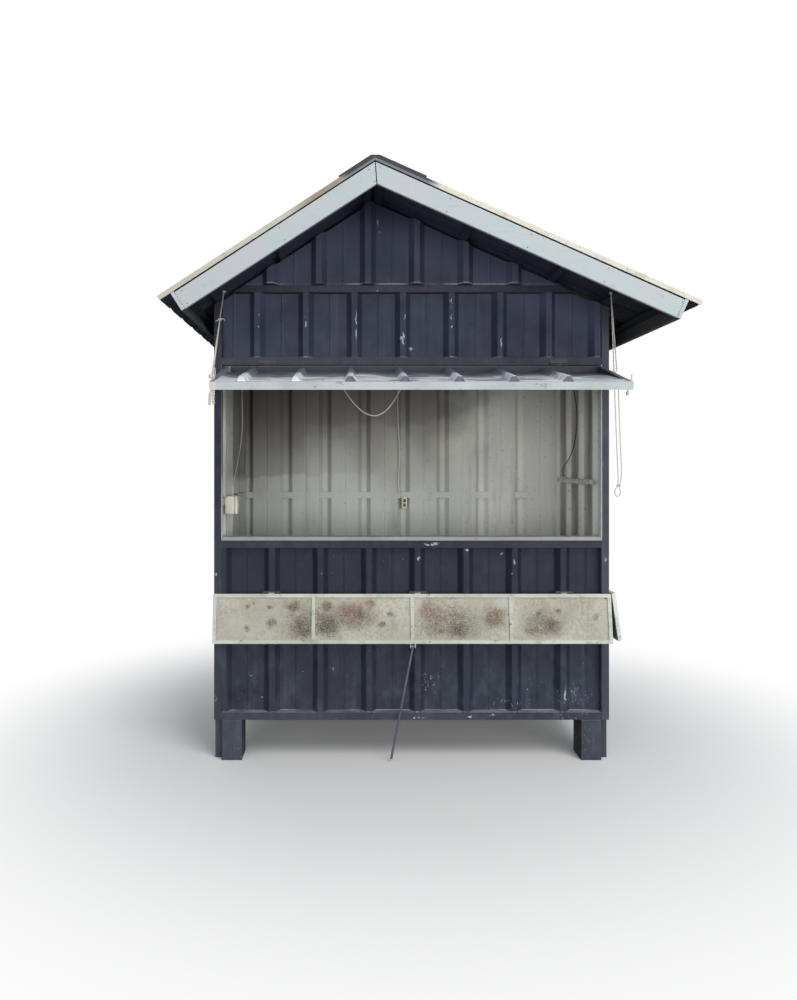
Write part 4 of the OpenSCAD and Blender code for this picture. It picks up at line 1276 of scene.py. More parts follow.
class Workshop:
    """The recipes, made once, with the calls that set fasteners, cords and beads."""

    def __init__(self, finishes: Finishes) -> None:
        """Keeps the finishes and makes the recipes.

        Args:
            finishes: the materials.
        """
        self.finishes = finishes
        self.heads = {head: FastenerRecipe(head) for head in Head}
        self.laid = StrandRecipe(3)
        self.plain = StrandRecipe(1)
        self.bead = BeadRecipe()

    def fasten(
        self, name: str, kind: Fastener, places: list[tuple[Vector, Vector]], finish: Material | None = None,
        slot: str = STEEL, body: str = "kiosk",
    ) -> Object:
        """Sets one head at each place.

        Args:
            name: the piece's name.
            kind: the kind of fastener.
            places: where each head sits and which way it stands.
            finish: the material, or none for the dark paint of the welds.
            slot: the record's slot.
            body: the body it rides on.

        Returns:
            The piece with all the heads.
        """
        seeds = mesh_of(name, [p for p, _ in places], [])
        aims = seeds.attributes.new("aim", "FLOAT_VECTOR", "POINT")
        aims.data.foreach_set("vector", [c for _, aim in places for c in aim])
        values = {
            "Radius": kind.radius, "Height": kind.height, "Washer": kind.washer,
            "Finish": finish or self.finishes.weld, "Seed": 7,
        }
        return seat(self.heads[kind.head].grow(name, seeds, values), body, slot)

    def line(
        self, name: str, path: list[Vector], diameter: float, finish: Material, body: str, slot: str,
        *nodes: str, laid: bool = True,
    ) -> Object:
        """Runs a rope or cable along a path.

        Args:
            name: the piece's name.
            path: points close together, in metres.
            diameter: in metres.
            finish: the material.
            body: the body it rides on.
            slot: the record's slot.
            nodes: the CAD nodes that it stands for.
            laid: whether it is a rope of three strands.

        Returns:
            The piece.
        """
        seed = mesh_of(name, path, [], [(i, i + 1) for i in range(len(path) - 1)])
        recipe = self.laid if laid else self.plain
        piece = recipe.grow(name, seed, {"Diameter": diameter, "Lay": diameter * 3.4, "Finish": finish})
        return seat(piece, body, slot, *nodes)

    def weld(self, name: str, runs: list[tuple[Vector, Vector]], radius: float) -> Object:
        """Runs a bead from one point to the other of each pair.

        Args:
            name: the piece's name.
            runs: both ends of each bead.
            radius: the bead's radius in metres.

        Returns:
            The piece with all the beads.
        """
        points = [p for run in runs for p in run]
        seed = mesh_of(name, points, [], [(i, i + 1) for i in range(0, len(points), 2)])
        values = {"Radius": radius, "Finish": self.finishes.weld, "Seed": 11}
        return seat(self.bead.grow(name, seed, values), "kiosk", STEEL)

    def knot(
        self, name: str, place: Vector, size: float, diameter: float, up: Vector = UP, body: str = "kiosk"
    ) -> Object:
        """Ties a small round knot of rope about a point.

        Args:
            name: the piece's name.
            place: its middle.
            size: how far it reaches out, in metres.
            diameter: the rope's diameter in metres.
            up: the way that the rope runs through it.
            body: the body it rides on.

        Returns:
            The piece.
        """
        across = up.cross(Vector((0, 1, 0.2))).normalized()
        out = up.cross(across).normalized()
        path = []
        for k in range(61):
            t = math.tau * k / 60
            ring = 2 + 0.9 * math.cos(3 * t)
            flat = across * ring * math.cos(2 * t) + up * ring * math.sin(2 * t) * 0.8
            path.append(place + (flat + out * 1.1 * math.sin(3 * t)) * size / 2.9)
        return self.line(name, path, diameter, self.finishes.rope, body, "rope", laid=False)


# The kiosk


@dataclass(frozen=True)
class Ribs:
    """Where the ribs of a sheet stand, in millimetres from the middle of the cabin."""

    first: float
    pitch: float = 251.0
    base: float = 80.0
    crest: float = 30.0

    def middles(self, low: float, high: float) -> list[float]:
        """Middles of the ribs between two places.

        Args:
            low: the lower end.
            high: the upper end.

        Returns:
            The middle of each rib that lies wholly between the two.
        """
        count = math.floor((low - self.first) / self.pitch), math.ceil((high - self.first) / self.pitch)
        places = [self.first + i * self.pitch for i in range(count[0], count[1] + 1)]
        return [x for x in places if low + self.base / 2 < x < high - self.base / 2]


@dataclass
class Ropes:
    """The taut awning ropes with their knots, and the tail that hangs below the side bar."""

    shop: Workshop
    rope_d: float = 6.0
    left_knot: Point = (-958.0, -564.0, 2407.6)
    left_hold: Point = (-949.0, -964.9, 1909.9)
    middle_at: float = 0.34
    right_knot: Point = (969.0, -680.0, 2374.6)
    right_hold: Point = (977.5, -696.7, 1983.4)
    strand_space: float = 14.0
    lift: float = 45.0
    pin: tuple[float, float] = (-510.0, 2043.0)
    tail_d: float = 5.0
    tail_route: tuple[Point, ...] = (
        (969, -700, 1976), (975, -700, 1974), (979, -700, 1967), (980, -700, 1950), (980, -700, 1890),
        (983, -700, 1800), (987, -700, 1700), (991, -700, 1600), (995, -700, 1500), (997, -700, 1440),
        (993, -700, 1422), (984, -700, 1406), (980, -700, 1390), (984, -700, 1376), (995, -700, 1370),
        (1005, -700, 1378), (1008, -700, 1392), (1004, -700, 1408), (1003, -700, 1424), (1010, -700, 1446),
        (1013, -700, 1500), (1009, -700, 1600), (1005, -700, 1700), (1001, -700, 1800), (998, -700, 1890),
        (994, -700, 1940), (989, -700, 1966), (980, -700, 1981), (969, -700, 1985),
    )

    def shorten(self, piece: Object) -> None:
        """Gives a taut rope, or a knot on it, a mesh of its own.

        Args:
            piece: the rope or a knot on it.
        """
        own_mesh(piece)

    def straight(self, name: str, a: Vector, b: Vector, *nodes: str) -> Object:
        """A taut rope from one point to another.

        Args:
            name: the piece's name.
            a: its upper end.
            b: its lower end.
            nodes: the CAD nodes that it stands for.

        Returns:
            The rope.
        """
        count = max(2, round((b - a).length / 0.0022))
        path = [a.lerp(b, k / count) for k in range(count + 1)]
        diameter = self.rope_d / 1000
        piece = self.shop.line(name, path, diameter, self.shop.finishes.rope, "kiosk", "rope", *nodes)
        return piece

    def build_left(self) -> None:
        """The left rope: single above its lower knot, doubled below it round the front corner."""
        top, low = at(*self.left_knot), at(*self.left_hold)
        middle = top.lerp(low, self.middle_at)
        side = Vector((0.0028, 0, 0))
        first = self.straight("rope_left_long", top, low - side, "rope_left")
        second = self.straight("rope_left_return", middle, low + side)
        for piece in (first, second):
            self.shorten(piece)
        up = (top - low).normalized()
        knots = [
            self.shop.knot("rope_left_top_knot", top - UP * 0.004, 0.007, 0.005, up),
            self.shop.knot("rope_left_middle_knot", middle, 0.0075, 0.005, up),
        ]
        ends = [
            self.stub("rope_left_end_right", middle, [(0, 0, 0), (9, -4, 3), (17, -3, 0), (23, 0, -5)]),
            self.stub("rope_left_end_left", middle, [(0, 0, 0), (-6, -5, -3), (-13, -6, -7), (-20, -6, -13)]),
        ]
        for piece in knots[1:] + ends:
            self.shorten(piece)

    def stub(self, name: str, start: Vector, offsets: list[Point], body: str = "kiosk") -> Object:
        """A short loose end of rope out of a knot."""
        path = smooth_line([start + Vector(o) / 1000 for o in offsets], 0.002)
        return self.shop.line(name, path, 0.005, self.shop.finishes.rope, body, "rope")

    def build_corner(self) -> None:
        """The knot on the awning's front left corner and the two thick ends below the bar."""
        low = at(*self.left_hold)
        rope = self.shop.finishes.rope
        place = low + Vector((-0.004, 0.006, 0.02))
        self.shop.knot("rope_corner_knot", place, 0.009, 0.007, Vector((0, 0.5, 1)), "awning")
        down = [(-0.5, 7, -39), (-0.5, 8, -46)]
        ends = [
            (14, down + [(-7, 6, -60), (-9, 5, -84), (-10, 5, -112)]),
            (13, [(6, 7, -39), (7, 8, -46), (7, 6, -64), (6, 5, -86), (8, 5, -108)]),
        ]
        for k, (thick, offsets) in enumerate(ends):
            path = smooth_line([low + Vector(o) / 1000 for o in offsets], 0.003)
            self.shop.line(f"rope_corner_end_{k}", path, thick / 1000, rope, "awning", "rope")
        self.stub("rope_corner_up", low, [(6, 2, 4), (13, 0, 14), (16, -1, 32), (15, -1, 56)], "awning")

    def build_right(self) -> None:
        """The right rope: two strands from a knot under the roof to the side bar."""
        top, hold = at(*self.right_knot), at(*self.right_hold)
        out = Vector((self.strand_space / 1000, 0, 0))
        first = self.straight("rope_right_inner", top, hold, "rope_right")
        second = self.straight("rope_right_outer", top, hold + out)
        for piece in (first, second):
            self.shorten(piece)
        self.shop.knot("rope_right_knot", top - UP * 0.004, 0.007, 0.005)

    def build_tail(self) -> None:
        """The tail: one rope, doubled, tied above its loop."""
        path = smooth_line([at(*p) for p in self.tail_route], 0.0022)
        diameter = self.tail_d / 1000
        rope = self.shop.finishes.rope
        piece = self.shop.line("rope_tail_line", path, diameter, rope, "awning", "rope", "rope_tail")
        knot = self.shop.knot("rope_tail_knot", at(1000, -700, 1424), 0.0085, 0.005, body="awning")

    def build(self) -> None:
        """Makes all the ropes."""
        self.build_left()
        self.build_corner()
        self.build_right()
        self.build_tail()


@dataclass
class Cables:
    """Free cables inside the cabin, each clipped or plugged in at both ends."""

    shop: Workshop
    diameter: float = 0.005
    lamp_route: tuple[Point, ...] = (
        (980, -64, 2310), (971, -64, 2308), (963, -64, 2302), (959, -64, 2294), (958, -64, 2280),
        (960, -62, 2160), (963, -60, 2040), (965, -66, 1950), (965, -98, 1880), (965, -116, 1818),
        (965, -112, 1740), (965, -80, 1665), (965, -18, 1600), (964, 50, 1554), (962, 95, 1531),
        (959, 120, 1519), (957, 134, 1507), (955, 137, 1493), (954, 131, 1478), (954, 123, 1464),
        (954, 121, 1453),
    )
    box_route: tuple[Point, ...] = (
        (-980, 150, 2322), (-971, 150, 2320), (-963, 150, 2314), (-959, 150, 2306), (-958, 150, 2292),
        (-962, 151, 2120), (-966, 152, 1970), (-967, 172, 1850), (-966, 164, 1760), (-964, 110, 1680),
        (-962, 30, 1608), (-959, -80, 1536), (-955, -190, 1480), (-951, -280, 1441), (-948, -322, 1421),
        (-946, -338, 1409), (-945, -346, 1390), (-945, -346, 1360),
    )
    socket_route: tuple[Point, ...] = (
        (-12, 460, 2436), (-12, 452, 2434), (-12, 444, 2428), (-12, 440, 2414), (-12, 440, 2200),
        (-13, 440, 2000), (-12, 440, 1806), (-4, 440, 1672), (-1, 440, 1583), (-7, 440, 1480),
        (-8, 440, 1420), (-6, 440, 1368), (-2, 440, 1354), (7, 441, 1345), (16, 442, 1336), (20, 442, 1323),
    )
    wire_route: tuple[Point, ...] = (
        (-386, -470, 2040), (-386, -470, 2026), (-376, -470, 1976), (-362, -470, 1942),
        (-344, -470, 1908), (-318, -470, 1870), (-288, -470, 1834), (-254, -470, 1804),
        (-220, -470, 1786), (-190, -470, 1780), (-160, -470, 1788), (-130, -470, 1808),
        (-102, -470, 1840), (-78, -470, 1876), (-54, -470, 1918), (-34, -470, 1960),
        (-16, -470, 2026), (-16, -470, 2040),
    )

    def run(self, node: str, route: tuple[Point, ...], finish: Material, slot: str) -> None:
        """Args:
            node: the CAD node that the cable stands for.
            route: places along it, in millimetres.
            finish: the material.
            slot: the record's slot.
        """
        path = smooth_line([at(*p) for p in route], 0.008)
        piece = self.shop.line(node + "_line", path, self.diameter, finish, "kiosk", slot, node, laid=False)

    def build(self) -> None:
        """Makes all the cables."""
        finishes = self.shop.finishes
        self.run("lamp_cord", self.lamp_route, finishes.black_cable, "black_cable")
        self.run("box_cord", self.box_route, finishes.white_cable, "white_cable")
        self.run("socket_cord", self.socket_route, finishes.white_cable, "white_cable")
        self.run("loop_wire", self.wire_route, finishes.white_cable, "white_cable")


@dataclass
class Cabin:
    """Square tube frame on four feet with the ribbed sheets set inside it."""

    shop: Workshop
    half_w: float = 1020.0
    half_d: float = 500.0
    tube: float = 40.0
    leg_h: float = 208.0
    sill_top: float = 1134.0
    head: float = 2040.0
    tie: float = 2416.0
    mid_rail: float = 1313.0
    tack_space: float = 13.0
    screw_space: float = 88.0
    lower: Ribs = Ribs(31.0)
    upper: Ribs = Ribs(-44.0)
    gable: Ribs = Ribs(25.0)
    bars: Softening = Softening()
    folds: Softening = Softening(0.004, 2, 50.0, 80.0)

    def dress_bars(self) -> None:
        """Rounds and paints the tubes and the feet."""
        f = self.shop.finishes
        painted = (
            (f.sill, "sill_rail"),
            (f.bars, "base_rails", "side_rails", "head_rail", "front_tie", "rear_tie", "worktop_brackets"),
            (f.legs, "leg_front_left", "leg_front_right", "leg_rear_left", "leg_rear_right"),
            (f.rafters, "top_plates", "rafters", "purlins"),
            (f.left_post, "post_front_left"),
            (f.right_post, "post_front_right"),
            (f.rear_left_post, "post_rear_left"),
            (f.rear_right_post, "post_rear_right"),
        )
        for finish, *nodes in painted:
            for node in nodes:
                self.bars.copy_of(node, finish)
        slight = Softening(0.0004, 1)
        slight.copy_of("rear_mid_rail", f.rear_bars)
        slight.copy_of("left_mid_rail", f.left_bars)
        Softening(0.0008).copy_of("floor_plate", f.inside, "bare_sheet")

    def dress_sheets(self) -> None:
        """Gives the sheets rounded folds and their two coats."""
        f = self.shop.finishes
        sheets = {
            "front_lower_sheet": f.lower_front, "front_upper_sheet": f.upper_front,
            "front_gable_sheet": f.gable_front, "rear_lower_sheet": f.rear, "rear_upper_sheet": f.rear,
            "rear_gable_sheet": f.rear, "left_lower_sheet": f.left, "left_upper_sheet": f.left,
            "right_sheet": f.right,
        }
        for node, finish in sheets.items():
            self.folds.copy_of(node, finish)

    def tack_welds(self) -> None:
        """Small welds where the ribs meet the rails, and beads where rails meet posts."""
        inner, face = self.half_w - self.tube, -self.half_d - 0.2
        spread = (-self.tack_space, self.tack_space)
        places = [
            (at(x + dx, -self.half_d + 1, rail + self.tube + 1.5), FRONT)
            for ribs, rail in ((self.upper, self.head), (self.lower, self.leg_h))
            for x in ribs.middles(-inner, inner) for dx in spread
        ]
        self.shop.fasten("tack_welds", TACK, places)
        runs: list[tuple[Vector, Vector]] = []
        for side in (-1, 1):
            for low in (self.leg_h, self.sill_top - self.tube, self.head):
                runs.append(self.seam(side * inner, face, low))
            for low in (self.leg_h, self.mid_rail):
                runs.append(self.seam(side * inner, -face, low))
        self.shop.weld("corner_welds", runs, 0.0022)

    def seam(self, x: float, y: float, low: float) -> tuple[Vector, Vector]:
        """Both ends of an upright bead as long as a tube is thick."""
        return at(x, y, low + 1), at(x, y, low + self.tube - 1)

    def screws(self) -> None:
        """Screws through the gable sheets into the ties, front and rear."""
        places = []
        level, out = self.tie + self.tube - 3, self.half_d + 2
        for x in self.gable.middles(-620, 820):
            for dx in (-self.screw_space, self.screw_space):
                places.append((at(x + dx, -out, level), FRONT))
                places.append((at(-x - dx + 50, out, level), REAR))
        inside = [p for p in places if -700 < (p[0].x - MIDDLE) * 1000 < 780]
        self.shop.fasten("gable_rivets", GABLE_RIVET, inside)

    def build(self) -> None:
        """Dresses the cabin."""
        self.dress_bars()
        self.dress_sheets()
        self.tack_welds()
        self.screws()


@dataclass
class Roof:
    """Low gable roof: ribbed sheets, ridge cap, stained verge strips and pale boards."""

    shop: Workshop
    ridge_x: float = -205.0
    ridge_z: float = 2905.0
    pitch_left: float = 33.0
    pitch_right: float = 24.0
    half_depth: float = 1000.0
    roof_t: float = 18.0
    nails_left: tuple[float, ...] = (48.0, 531.0, 1057.0)
    nails_right: tuple[float, ...] = (35.0, 383.0, 782.0, 1163.0, 1531.0)
    screws_left: tuple[float, ...] = (150.0, 551.0, 954.0)
    screws_right: tuple[float, ...] = (215.0, 520.0, 1015.0, 1312.0, 1509.0)
    nail_pair: tuple[tuple[float, float], ...] = ((0.0, 24.0), (9.0, 84.0))

    def point(self, left: bool, run: float, depth: float, y: float) -> Vector:
        """A place on one side of the roof, run down the slope and depth under the sheet.

        Args:
            left: whether it is the left side.
            run: how far down the slope from the ridge.
            depth: how far under the sheet.
            y: how far back.

        Returns:
            The place.
        """
        pitch = math.radians(self.pitch_left if left else self.pitch_right)
        sign = -1 if left else 1
        x = self.ridge_x + sign * (run * math.cos(pitch) - depth * math.sin(pitch))
        return at(x, y, self.ridge_z - run * math.sin(pitch) - depth * math.cos(pitch))

    def up(self, left: bool) -> Vector:
        """The way that one side of the roof faces."""
        pitch = math.radians(self.pitch_left if left else self.pitch_right)
        return Vector(((-1 if left else 1) * math.sin(pitch), 0, math.cos(pitch)))

    def dress(self) -> None:
        """Rounds and paints the roof's own nodes."""
        f = self.shop.finishes
        folds, board = Softening(0.0035, 2, 30.0, 80.0), Softening(0.002)
        painted = (
            (folds, f.roof, "roof_sheet", "roof_sheet_left", "roof_sheet_right"),
            (Softening(0.0006), f.cap, "roof_sheet", "ridge_cap"),
            (Softening(0.0008), f.verge, "verge_strip", "verge_strips"),
            (board, f.barge, "roof_board", "barge_front", "barge_rear"),
            (board, f.eave, "roof_board", "eave_boards"),
        )
        for softening, finish, slot, *nodes in painted:
            for node in nodes:
                softening.copy_of(node, finish, slot)

    def fasteners(self) -> None:
        """Roof screws on the ribs and nails along the barge boards."""
        f = self.shop.finishes
        places = []
        for left, runs in ((True, self.screws_left), (False, self.screws_right)):
            for y in Ribs(0.0).middles(-self.half_depth, self.half_depth):
                places += [(self.point(left, run, -self.roof_t, y), self.up(left)) for run in runs]
        self.shop.fasten("roof_screws", ROOF_SCREW, places, f.zinc, "roof_sheet")
        nails = []
        for left, runs in ((True, self.nails_left), (False, self.nails_right)):
            for sign in (-1, 1):
                y = sign * self.half_depth
                for run in runs:
                    for along, depth in self.nail_pair:
                        nails.append((self.point(left, run + along, depth, y), Vector((0, sign, 0))))
        self.shop.fasten("barge_nails", BARGE_NAIL, nails, f.nail, "roof_board")

    def build(self) -> None:
        """Dresses the roof."""
        self.dress()
        self.fasteners()


@dataclass
class Awning:
    """Small hinged awning: a bar frame and a ribbed sheet with tabs in its rib ends."""

    shop: Workshop
    width: float = 1934.0
    middle: float = 7.0
    length: float = 485.0
    tilt: float = 16.0
    pin_y: float = -510.0
    pin_z: float = 2043.0
    ribs: Ribs = Ribs(-67.6, 248.4, 54.0, 20.0)
    last_rib: int = 3
    inset: float = 22.5
    lip: float = 4.0
    rise: float = 26.0
    skin: float = 2.0
    sheet_back: float = -26.167
    sheet_low: float = -39.0
    sheet_turn: float = 4.0618
    hinges: tuple[float, float] = (-746.0, 760.0)
    rows: int = 44
    rivet_rows: tuple[float, float] = (446.0, 12.0)
    rivets_to: float = 930.0

    def point(self, x: float, y: float, z: float) -> Vector:
        """A place in the awning's own level drawing, as it stands at rest.

        Args:
            x: across.
            y: back from the pin, negative to the front.
            z: up from the pin.

        Returns:
            The place.
        """
        turn = math.radians(self.tilt)
        back = self.pin_y + y * math.cos(turn) - z * math.sin(turn)
        return at(x, back, self.pin_z + y * math.sin(turn) + z * math.cos(turn))

    def on_sheet(self, x: float, run: float, z: float) -> Vector:
        """A place over the sheet, run in from its rear edge and z over its underside.

        Args:
            x: across.
            run: how far from the sheet's rear edge.
            z: how far over its underside.

        Returns:
            The place.
        """
        turn = math.radians(self.sheet_turn)
        y = self.sheet_back - run * math.cos(turn) + z * math.sin(turn)
        return self.point(x, y, self.sheet_low + run * math.sin(turn) + z * math.cos(turn))

    def height(self, x: float) -> float:
        """Height of the ribbed profile over the flat of the sheet.

        Args:
            x: across.

        Returns:
            The height in millimetres.
        """
        ribs = self.ribs
        nearest = min(round((x - ribs.first) / ribs.pitch), self.last_rib)
        away = abs(x - ribs.first - nearest * ribs.pitch)
        slope = (ribs.base / 2 - away) / (ribs.base / 2 - ribs.crest / 2)
        return (self.rise - self.skin) * min(1.0, max(0.0, slope))

    @property
    def reach(self) -> float:
        """Length of the sheet along its own slope."""
        return (self.length - self.lip + self.sheet_back) / math.cos(math.radians(self.sheet_turn))

    @property
    def sides(self) -> tuple[float, float]:
        """Left and right edge of the sheet."""
        half = self.width / 2
        return self.middle - half + self.inset, self.middle + half - self.inset

    def columns(self) -> list[float]:
        """Where the sheet's mesh has a column: two at each fold, and evenly in the flats.

        Returns:
            Their places across.
        """
        left, right = self.sides
        last = self.ribs.first + self.last_rib * self.ribs.pitch
        folds = [
            x + d for x in self.ribs.middles(left, last + 60)
            for h in (self.ribs.base / 2, self.ribs.crest / 2) for d in (-h - 1.2, -h + 1.2, h - 1.2, h + 1.2)
        ]
        plain = [left + (right - left) * i / 150 for i in range(151)]
        return sorted(folds + [x for x in plain if all(abs(x - fold) > 2.5 for fold in folds)])

    @staticmethod
    def slab(rows: int, wide: int) -> list[tuple[int, ...]]:
        """Faces of a closed sheet.

        Args:
            rows: how many rows of faces it has.
            wide: how many points stand in a row of points. The lower points follow all the upper ones.

        Returns:
            The faces: upper, lower and rim.
        """
        count = (rows + 1) * wide
        faces = []
        for j in range(rows):
            for i in range(wide - 1):
                a = j * wide + i
                faces.append((a, a + 1, a + wide + 1, a + wide))
                faces.append((count + a, count + a + wide, count + a + wide + 1, count + a + 1))
        rim = [j * wide for j in range(rows + 1)] + [rows * wide + i for i in range(1, wide)]
        rim += [j * wide + wide - 1 for j in range(rows - 1, -1, -1)] + list(range(wide - 2, 0, -1))
        for a, b in zip(rim, rim[1:] + rim[:1]):
            faces.append((a, b, count + b, count + a))
        return faces

    def sheet(self) -> None:
        """The sheet, with the waves and dents of thin metal in its flats."""
        rng = random.Random(5)
        waves = [
            (rng.uniform(0.008, 0.03), rng.uniform(0.004, 0.016), rng.uniform(0, 6.3), rng.uniform(0.5, 1.0))
            for _ in range(7)
        ]
        total = sum(w[3] for w in waves)
        xs, rows = self.columns(), self.rows
        top, low = [], []
        for j in range(rows + 1):
            y = self.reach * j / rows
            hold = math.sin(math.pi * min(1.0, max(0.0, j / rows * 1.02)))
            for x in xs:
                rib = self.height(x)
                flat = 1 - rib / (self.rise - self.skin)
                wave = sum(math.sin(a * x + b * y * 1.7 + c) * d for a, b, c, d in waves) / total
                lift = max(0.0, wave) * 4.0 * hold * flat
                top.append(self.on_sheet(x, y, self.skin + rib + lift))
                low.append(self.on_sheet(x, y, rib + lift))
        faces = self.slab(rows, len(xs))
        mesh = mesh_of("awning_sheet_waved", top + low, faces)
        work = bmesh.new()
        work.from_mesh(mesh)
        bmesh.ops.recalc_face_normals(work, faces=work.faces)
        work.to_mesh(mesh)
        work.free()
        mesh.polygons.foreach_set("use_smooth", [True] * len(mesh.polygons))
        mesh.set_sharp_from_angle(angle=math.radians(40))
        rib = mesh.attributes.new("rib", "FLOAT", "POINT")
        shares = [min(1.0, self.height(x) / 6) for x in xs] * (2 * (rows + 1))
        rib.data.foreach_set("value", shares)
        mesh.materials.append(self.shop.finishes.awning_sheet)
        seat(new_object("awning_sheet_waved", mesh), "awning", "awning_sheet", "awning_sheet")

    def rib_ends(self) -> None:
        """Tabs that close the hollow front ends of the ribs, in the colours of the hollows: the two left ones
        pale, a painted light, the others grey, a painted shade.
        """
        ribs, f = self.ribs, self.shop.finishes
        run, top = self.reach - 3, self.rise - self.skin - 0.6
        base, crest = ribs.base / 2 - 3, ribs.crest / 2 - 1
        outline = ((-base, 0.3), (base, 0.3), (crest, top), (-crest, top))
        middles = ribs.middles(self.sides[0], ribs.first + (self.last_rib + 0.3) * ribs.pitch)
        for name, places, finish in (("pale", middles[:2], f.lit_hollow_tab), ("grey", middles[2:], f.shaded_hollow_tab)):
            points, faces = [], []
            for x in places:
                n = len(points)
                points += [self.on_sheet(x + dx, run - back, z) for back in (0, 1.4) for dx, z in outline]
                faces += [(n, n + 1, n + 2, n + 3), (n + 7, n + 6, n + 5, n + 4)]
                faces += [(n + k, n + k + 4, n + (k + 1) % 4 + 4, n + (k + 1) % 4) for k in range(4)]
            mesh = mesh_of("awning_rib_ends_" + name, points, faces)
            mesh.materials.append(finish)
            seat(new_object("awning_rib_ends_" + name, mesh), "awning", "awning_sheet")

    def rivets(self) -> None:
        """Rivets through the flats into the front and rear bars, and screws in the hinge leaves."""
        up = self.on_sheet(0, 0, 1) - self.on_sheet(0, 0, 0)
        flats = Ribs(self.ribs.first + self.ribs.pitch / 2, self.ribs.pitch, 0)
        places = [
            (self.on_sheet(x, run, self.skin), up.normalized())
            for x in flats.middles(self.middle - self.rivets_to, self.middle + self.rivets_to)
            for run in self.rivet_rows
        ]
        zinc = self.shop.finishes.zinc
        self.shop.fasten("awning_rivets", AWNING_RIVET, places, zinc, "awning_sheet", "awning")
        leaf = [
            (at(x + dx, self.pin_y + 7, self.pin_z + 17), FRONT) for x in self.hinges for dx in LEAF_SCREWS
        ]
        self.shop.fasten("awning_hinge_screws", AWNING_SCREW, leaf)

    def build(self) -> None:
        """Dresses the awning."""
        f = self.shop.finishes
        Softening(0.0015).copy_of("awning_frame", f.awning_bars, "awning_paint", "awning")
        Softening(0.0006).copy_of("awning_hinges", f.hinge)
        self.sheet()
        self.rib_ends()
        self.rivets()


@dataclass
class Ledges:
    """Fold-down ledges on the front and the right side, and the rod that props the front one."""

    shop: Workshop
    pin_z: float = 869.0
    front_hinges: tuple[float, ...] = (-722.0, 31.0, 784.0)
    side_hinges: tuple[float, ...] = (-226.5, 275.5)
    half_w: float = 1020.0
    half_d: float = 500.0

    def hinge_screws(self) -> None:
        """Screws in the leaves on the walls, below the pins."""
        level, wall, side_wall = self.pin_z - 17, -self.half_d - 3, self.half_w + 3
        front = [(at(x + dx, wall, level), FRONT) for x in self.front_hinges for dx in LEAF_SCREWS]
        side = [(at(side_wall, y + dy, level), RIGHT) for y in self.side_hinges for dy in LEAF_SCREWS]
        self.shop.fasten("ledge_hinge_screws", LEDGE_SCREW, front + side)

    def build(self) -> None:
        """Dresses the ledges."""
        f = self.shop.finishes
        bars = Softening(0.0018)
        bars.copy_of("front_ledge_frame", f.ledge_bars, "ledge_paint", "front_ledge")
        bars.copy_of("side_ledge_frame", f.side_ledge_bars, "ledge_paint", "side_ledge")
        dress("front_ledge_boards", f.ledge_boards)
        dress("side_ledge_boards", f.side_boards)
        Softening(0.0006).copy_of("ledge_hinges", f.hinge)
        dress("prop_rod", f.rod)
        self.hinge_screws()


